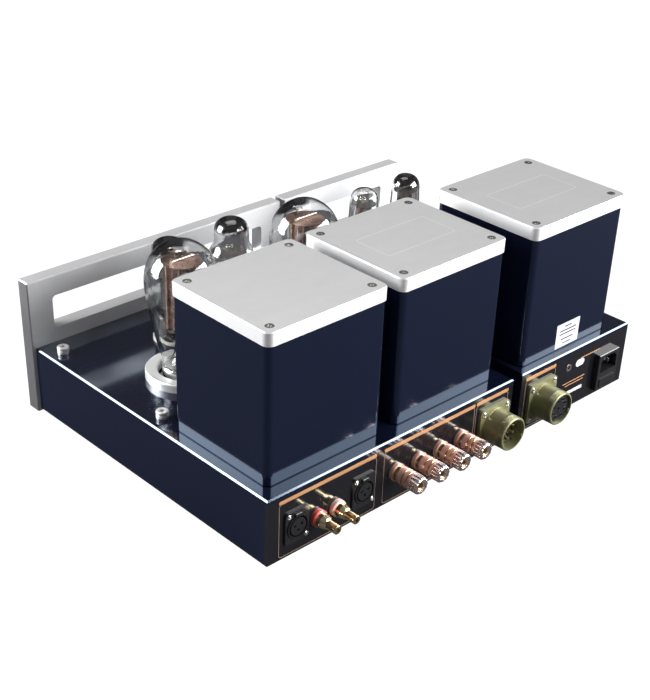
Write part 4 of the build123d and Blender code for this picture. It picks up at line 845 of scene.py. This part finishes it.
def post_cap(number):
    """A clamp cap: a copper core with gilt rings and a clear rose jacket, then a fluted end with its bore."""
    node = f"post_cap_{number}"
    low, high = node_box(node)
    place = rearward((low.x + high.x) / 2, REAR, (low.z + high.z) / 2)
    end = high.y - REAR
    cap = Shape()
    cap.turn(place, [
        (CAP_BORE, CORE_LOW), (6.0, CORE_LOW), (CAP_CORE, CORE_LOW + 0.4), (CAP_CORE, 9.6), (CAP_WAIST, 10.0),
        (CAP_WAIST, 12.2), (CAP_CORE, 12.6), (CAP_CORE, 16.0), (5.9, 16.3), (5.9, 17.2), (CAP_CORE, 17.5),
        (CAP_CORE, CORE_HIGH), (CAP_BORE, CORE_HIGH),
    ], 0, closed=True)
    for ring_low in RING_LOWS:
        ring_high = ring_low + RING_HEIGHT
        cap.turn(place, [
            (6.3, ring_low), (8.2, ring_low), (CAP_RIM, ring_low + 0.25), (CAP_RIM, ring_high - 0.25),
            (8.2, ring_high), (6.3, ring_high),
        ], 1, closed=True)
    for jacket_low, jacket_high in JACKETS:
        cap.turn(place, [
            (6.6, jacket_low), (8.0, jacket_low), (CAP_JACKET, jacket_low + 0.4),
            (CAP_JACKET, jacket_high - 0.4), (8.0, jacket_high), (6.6, jacket_high),
        ], 2, closed=True)
    cap.turn(place, [
        (CAP_BORE, GRIP_LOW), (CAP_CORE, GRIP_LOW), (CAP_CORE, 21.8), (7.9, 22.0), (CAP_RIM, 22.5),
        (CAP_RIM, 28.6), (8.2, 29.6), (7.4, end - 0.4), (6.4, end), (5.2, end), (4.6, end - 0.9),
        (CAP_BORE, end - 1.0),
    ], 3, steps=144, closed=True, flute=fluted)
    cap.build(f"{node}_grip", node, "copper_cap", COPPER, GILT, JACKET, ROSE, replaces=(node,))


for post in POSTS:
    post_cap(post)


# ---------------------------------------------------------------- sockets on the rear panels
def ring_of(shape, place, outer, inner, low, high, tint=0, steps=48):
    """A plain ring with softened edges."""
    soft = min(0.15, (outer - inner) / 4, (high - low) / 3)
    shape.turn(place, [
        (inner, low), (outer, low), (outer, high - soft), (outer - soft, high), (inner + soft, high),
        (inner, high - soft),
    ], tint, steps=steps, closed=True)


XLR_CONTACTS = ((-3.7, 1.6), (3.7, 1.6), (0, -3.2))


def xlr_trim(side):
    """The gilt contact sleeves and the two raised black rings of one XLR socket."""
    latch = node_middle(f"xlr_latch_{side}")
    low, high = node_box("xlr_sockets")
    place = rearward(latch.x, REAR, (low.z + high.z) / 2)
    face = high.y - REAR
    trim = Shape()
    for x, y in XLR_CONTACTS:
        at = place @ Matrix.Translation((x, y, 0))
        ring_of(trim, at, 1.33, 0.95, face - 9.0, face - 2.5, 0, steps=24)
    ring_of(trim, place, 8.25, 8.0, face - 6.0, face - 0.25, 1)
    ring_of(trim, place, 11.0, 10.6, face - 1.1, face - 0.1, 1)
    trim.build(f"xlr_trim_{side}", "amplifier", "bright_metal", GILT, PLASTIC)


for socket_side in SIDES:
    xlr_trim(socket_side)


SHELL, CONTACT, SEAL = range(3)        # the materials of a connector's trim
THREADS = 5
THREAD_LOW = 20.0
THREAD_PITCH = 1.1
THREAD_HEIGHT = 0.6
KEY_ANGLES = (90, 205, 335)            # the first key is the wide one
KEY_REACH = 14.0
KEY_HIGH = 25.4
OUTER_CONTACTS = 8                     # one more stands in the middle
CONTACT_CIRCLE = 9.0
PIN_FACE = 14.0
PIN_RADIUS = 1.26


def connector_trim(unit, body, has_pins):
    """Thread rings and keys of an umbilical connector, and its contacts: pins or sockets."""
    low, high = node_box(f"{unit}_connector_shell")
    place = rearward((low.x + high.x) / 2, REAR, (low.z + high.z) / 2)
    trim = Shape()
    for index in range(THREADS):
        thread_low = THREAD_LOW + index * THREAD_PITCH
        ring_of(trim, place, 16.45, 15.9, thread_low, thread_low + THREAD_HEIGHT, SHELL)
    ring_of(trim, place, 17.2, 16.4, 3.0, 4.0, SHELL)
    key_low = 20.0 if has_pins else 23.6
    for angle in KEY_ANGLES:
        width = 3.0 if angle == KEY_ANGLES[0] else 2.4
        at = place @ Matrix.Rotation(radians(angle), 4, "Z") @ Matrix.Translation((KEY_REACH, 0, 0))
        trim.slab(at, 1.2, width, 0.3, key_low, KEY_HIGH, 0.2, SHELL)
    for index in range(OUTER_CONTACTS + 1):
        angle = tau * (index + 0.5) / OUTER_CONTACTS
        reach = CONTACT_CIRCLE if index < OUTER_CONTACTS else 0
        at = place @ Matrix.Translation((reach * cos(angle), reach * sin(angle), 0))
        if has_pins:
            pin = [(PIN_RADIUS, PIN_FACE), (PIN_RADIUS, 20.0), (0.9, 20.8), (0, 21.05)]
            trim.turn(at, pin, CONTACT, steps=20)
            ring_of(trim, at, 2.1, PIN_RADIUS - 0.01, PIN_FACE, PIN_FACE + 0.7, SEAL, steps=24)
        else:
            ring_of(trim, at, 1.95, 1.5, 23.4, 23.8, SEAL, steps=24)
            ring_of(trim, at, 1.46, 1.1, 15.0, 20.5, CONTACT, steps=20)
    trim.build(f"{unit}_connector_trim", body, "olive_metal", OLIVE, PALE_GILT, PLASTIC)


connector_trim("amp", "amplifier", True)
connector_trim("psu", "power_supply", False)

BLADES = ((-7.0, 6.0), (7.0, 6.0), (0, 10.0))
BLADE_LOW = -16.9        # depths below the inlet's face
BLADE_HIGH = -4.8
INLET_LINES = (-5.4, -18.6)


def inlet_trim():
    """The bright blades of the mains inlet, and the fine lines above and below the fuse drawer."""
    low, high = node_box("mains_inlet")
    place = rearward((low.x + high.x) / 2, high.y, (low.z + high.z) / 2)
    trim = Shape()
    for x, y in BLADES:
        at = place @ Matrix.Translation((x, y, 0))
        trim.slab(at, 2.2, 4.2, 0.3, BLADE_LOW, BLADE_HIGH, 0.5, 0)
    for level in INLET_LINES:
        at = place @ Matrix.Translation((0, level, 0))
        trim.slab(at, 26.0, 0.5, 0.2, 0, 0.05, 0, 1)
    trim.build("mains_inlet_blades", "power_supply", "bright_metal", NICKEL, PLASTIC)


inlet_trim()


# ---------------------------------------------------------------- print and labels on the rear panels
# From a unit's +X edge, the start and end of each outlined group of sockets.
PRINT_BOXES = {"amp": ((12.4, 121.8), (131.0, 245.6), (247.7, 291.0)), "psu": ((6.3, 50.0),)}
PRINT_LOW = 2.0          # heights above the bottom cover
PRINT_HIGH = 54.7
TITLE_HIGH = 57.8
PRINT_RISE = 0.12
PRINT_WIDTH = 0.45
PRINT_CORNER = 3.0
# Plain bars in place of the power supply's small print: distance from its +X edge, height and width.
SMALL_BARS = ((81.75, 38.6, 34.0), (82.75, 35.4, 28.0), (103.75, 60.0, 30.0))


def rear_print(unit, body):
    """The copper title bars and the fine outlines round each group of sockets, left without lettering."""
    high = node_box(f"{unit}_chassis")[1]
    foot = node_box(f"{unit}_bottom_cover")[0].z
    tall = PRINT_HIGH - PRINT_LOW
    outlines = Shape()
    for first, last in PRINT_BOXES[unit]:
        width = last - first
        x = high.x - (first + last) / 2
        hollow = (width - 2 * PRINT_WIDTH, tall - 2 * PRINT_WIDTH, PRINT_CORNER - 0.4)
        at = rearward(x, REAR, foot + (PRINT_LOW + PRINT_HIGH) / 2)
        outlines.slab(at, width, tall, PRINT_CORNER, 0, PRINT_RISE, 0, 1, hollow=hollow)
        at = rearward(x, REAR, foot + (PRINT_HIGH + TITLE_HIGH) / 2)
        outlines.slab(at, width, TITLE_HIGH - PRINT_HIGH, 0.3, 0, PRINT_RISE, 0.04, 0)
    if unit == "psu":
        for inset, z, width in SMALL_BARS:
            outlines.slab(rearward(high.x - inset, REAR, z), width, 0.9, 0.2, 0, PRINT_RISE, 0.03, 0)
    outlines.build(f"{unit}_rear_print", body, "black_panel", PRINT, PRINT_LINE)


rear_print("amp", "amplifier")
rear_print("psu", "power_supply")

LABEL_RISE = 0.12
LABEL_BEVEL = 0.03
# The rules on the cover's label, in place of words: height from its middle, and width.
LABEL_RULES = ((8.5, 10.0), (4.5, 24.0), (1.0, 24.0), (-4.5, 18.0), (-9.0, 12.0))


def blank_labels():
    """The power supply's plain labels: one on the cover, and a strip, an oval and a ring on the panel."""
    cover_low, cover_high = node_box("power_transformer_cover")
    edge = node_box("psu_chassis")[1].x
    labels = Shape()
    at = rearward(cover_low.x + 60.8, cover_high.y, DECK + 14.5)
    labels.slab(at, 34.0, 25.0, 0.6, 0, LABEL_RISE, LABEL_BEVEL, 0)
    for level, width in LABEL_RULES:
        rule = at @ Matrix.Translation((0, level, 0))
        labels.slab(rule, width, 1.1, 0.1, LABEL_RISE, LABEL_RISE + 0.04, 0, 1)
    strip = rearward(edge - 83.0, REAR, 26.8)
    labels.slab(strip, 27.0, 3.6, 0.3, 0, LABEL_RISE, LABEL_BEVEL, 0)
    oval = rearward(edge - 88.5, REAR, 55.6)
    labels.slab(oval, 13.0, 7.4, 3.6, 0, LABEL_RISE, LABEL_BEVEL, 0)
    ring_of(labels, rearward(edge - 71.5, REAR, 55.3), 3.7, 2.0, 0, LABEL_RISE, 2)
    labels.build("psu_blank_labels", "power_supply", "black_panel", LABEL, PLASTIC, ROSE)


blank_labels()


# ---------------------------------------------------------------- floor, light and camera
DIM_HEIGHTS = (-0.1, 0.7)              # the dim surround brightens between these heights of the sky
DIM_STRENGTHS = (0.02, 0.20)
FLOOR_HALF = 40.0                      # metres
FLOOR_PAPER = (0.06, 0.06, 0.062, 1)
FLOOR_GLOW = 0.98
FLOOR_MIRRORED = (0.055, 0.055, 0.06, 1)


def is_seen(tree):
    """1 for a ray that looks straight at the stage or through glass, 0 for one that lights or mirrors."""
    path = tree.nodes.new("ShaderNodeLightPath")
    either = tree.nodes.new("ShaderNodeMath")
    either.operation = "MAXIMUM"
    tree.links.new(path.outputs["Is Glossy Ray"], either.inputs[0])
    tree.links.new(path.outputs["Is Diffuse Ray"], either.inputs[1])
    seen = tree.nodes.new("ShaderNodeMath")
    seen.operation = "SUBTRACT"
    seen.inputs[0].default_value = 1.0
    tree.links.new(either.outputs[0], seen.inputs[1])
    return seen.outputs[0]


def studio_world():
    """A white surround to the eye; a dim one, brighter above, to everything that it lights."""
    world = bpy.data.worlds.new("studio")
    scene.world = world
    world.use_nodes = True
    tree = world.node_tree
    tree.nodes.clear()
    direction = tree.nodes.new("ShaderNodeTexCoord")
    split = tree.nodes.new("ShaderNodeSeparateXYZ")
    height = tree.nodes.new("ShaderNodeMapRange")
    tree.links.new(direction.outputs["Generated"], split.inputs[0])
    tree.links.new(split.outputs["Z"], height.inputs[0])
    for socket, value in zip(height.inputs[1:5], DIM_HEIGHTS + DIM_STRENGTHS):
        socket.default_value = value
    dim = tree.nodes.new("ShaderNodeBackground")
    tree.links.new(height.outputs[0], dim.inputs["Strength"])
    white = tree.nodes.new("ShaderNodeBackground")
    white.inputs["Color"].default_value = (1, 1, 1, 1)
    mix = tree.nodes.new("ShaderNodeMixShader")
    tree.links.new(is_seen(tree), mix.inputs[0])
    tree.links.new(dim.outputs[0], mix.inputs[1])
    tree.links.new(white.outputs[0], mix.inputs[2])
    output = tree.nodes.new("ShaderNodeOutputWorld")
    tree.links.new(mix.outputs[0], output.inputs["Surface"])


def studio_floor():
    """A pale floor, nearly white to the eye and darker in reflections."""
    mesh = bpy.data.meshes.new("floor")
    half = FLOOR_HALF
    corners = [(-half, -half, 0), (half, -half, 0), (half, half, 0), (-half, half, 0)]
    mesh.from_pydata(corners, [], [(0, 1, 2, 3)])
    floor = bpy.data.objects.new("floor", mesh)
    scene.collection.objects.link(floor)
    material = bpy.data.materials.new("floor")
    material.use_nodes = True
    tree = material.node_tree
    tree.nodes.clear()
    paper = tree.nodes.new("ShaderNodeBsdfDiffuse")
    paper.inputs["Color"].default_value = FLOOR_PAPER
    glow = tree.nodes.new("ShaderNodeEmission")
    glow.inputs["Strength"].default_value = FLOOR_GLOW
    both = tree.nodes.new("ShaderNodeAddShader")
    tree.links.new(paper.outputs[0], both.inputs[0])
    tree.links.new(glow.outputs[0], both.inputs[1])
    dark = tree.nodes.new("ShaderNodeBsdfDiffuse")
    dark.inputs["Color"].default_value = FLOOR_MIRRORED
    mix = tree.nodes.new("ShaderNodeMixShader")
    tree.links.new(is_seen(tree), mix.inputs[0])
    tree.links.new(dark.outputs[0], mix.inputs[1])
    tree.links.new(both.outputs[0], mix.inputs[2])
    output = tree.nodes.new("ShaderNodeOutputMaterial")
    tree.links.new(mix.outputs[0], output.inputs["Surface"])
    mesh.materials.append(material)


AIM = Vector((0.0, 0.0, 0.09))
# name, place, width and height in metres, power in watts
SOFTBOXES = (
    ("side_box", (1.45, -1.20, 0.70), 1.1, 1.25, 120.0),
    ("rear_box", (-1.00, 1.50, 0.70), 1.9, 1.25, 150.0),
    ("top_box", (-0.30, -0.60, 1.80), 1.2, 0.9, 8.0),
)


def softbox(name, place, width, height, power):
    """A rectangular soft light aimed at the object."""
    light = bpy.data.lights.new(name, "AREA")
    light.shape = "RECTANGLE"
    light.size = width
    light.size_y = height
    light.energy = power
    lamp = bpy.data.objects.new(name, light)
    scene.collection.objects.link(lamp)
    lamp.location = place
    lamp.rotation_euler = (AIM - Vector(place)).to_track_quat("-Z", "Y").to_euler()
    lamp.visible_camera = False


CAMERA_PLACE = (0.81125, 0.80658, 0.68511)
CAMERA_AZIMUTH = 45.7788     # degrees, from +X round to +Y
CAMERA_ELEVATION = 32.5653   # degrees above the level
CAMERA_ROLL = 2.0617
CAMERA_LENS = 69.886
CAMERA_SHIFT = (0.0036, 0.1323)


def photo_camera():
    """The camera at the photograph's viewing angle."""
    data = bpy.data.cameras.new("camera")
    data.lens = CAMERA_LENS
    data.sensor_width = 36.0
    data.shift_x, data.shift_y = CAMERA_SHIFT
    camera = bpy.data.objects.new("camera", data)
    scene.collection.objects.link(camera)
    around = Matrix.Rotation(radians(CAMERA_AZIMUTH + 90), 4, "Z")
    tilt = Matrix.Rotation(radians(90 - CAMERA_ELEVATION), 4, "X")
    roll = Matrix.Rotation(radians(CAMERA_ROLL), 4, "Z")
    camera.matrix_world = Matrix.Translation(CAMERA_PLACE) @ around @ tilt @ roll
    scene.camera = camera


studio_world()
studio_floor()
for settings in SOFTBOXES:
    softbox(*settings)
photo_camera()
scene.view_settings.view_transform = "Standard"
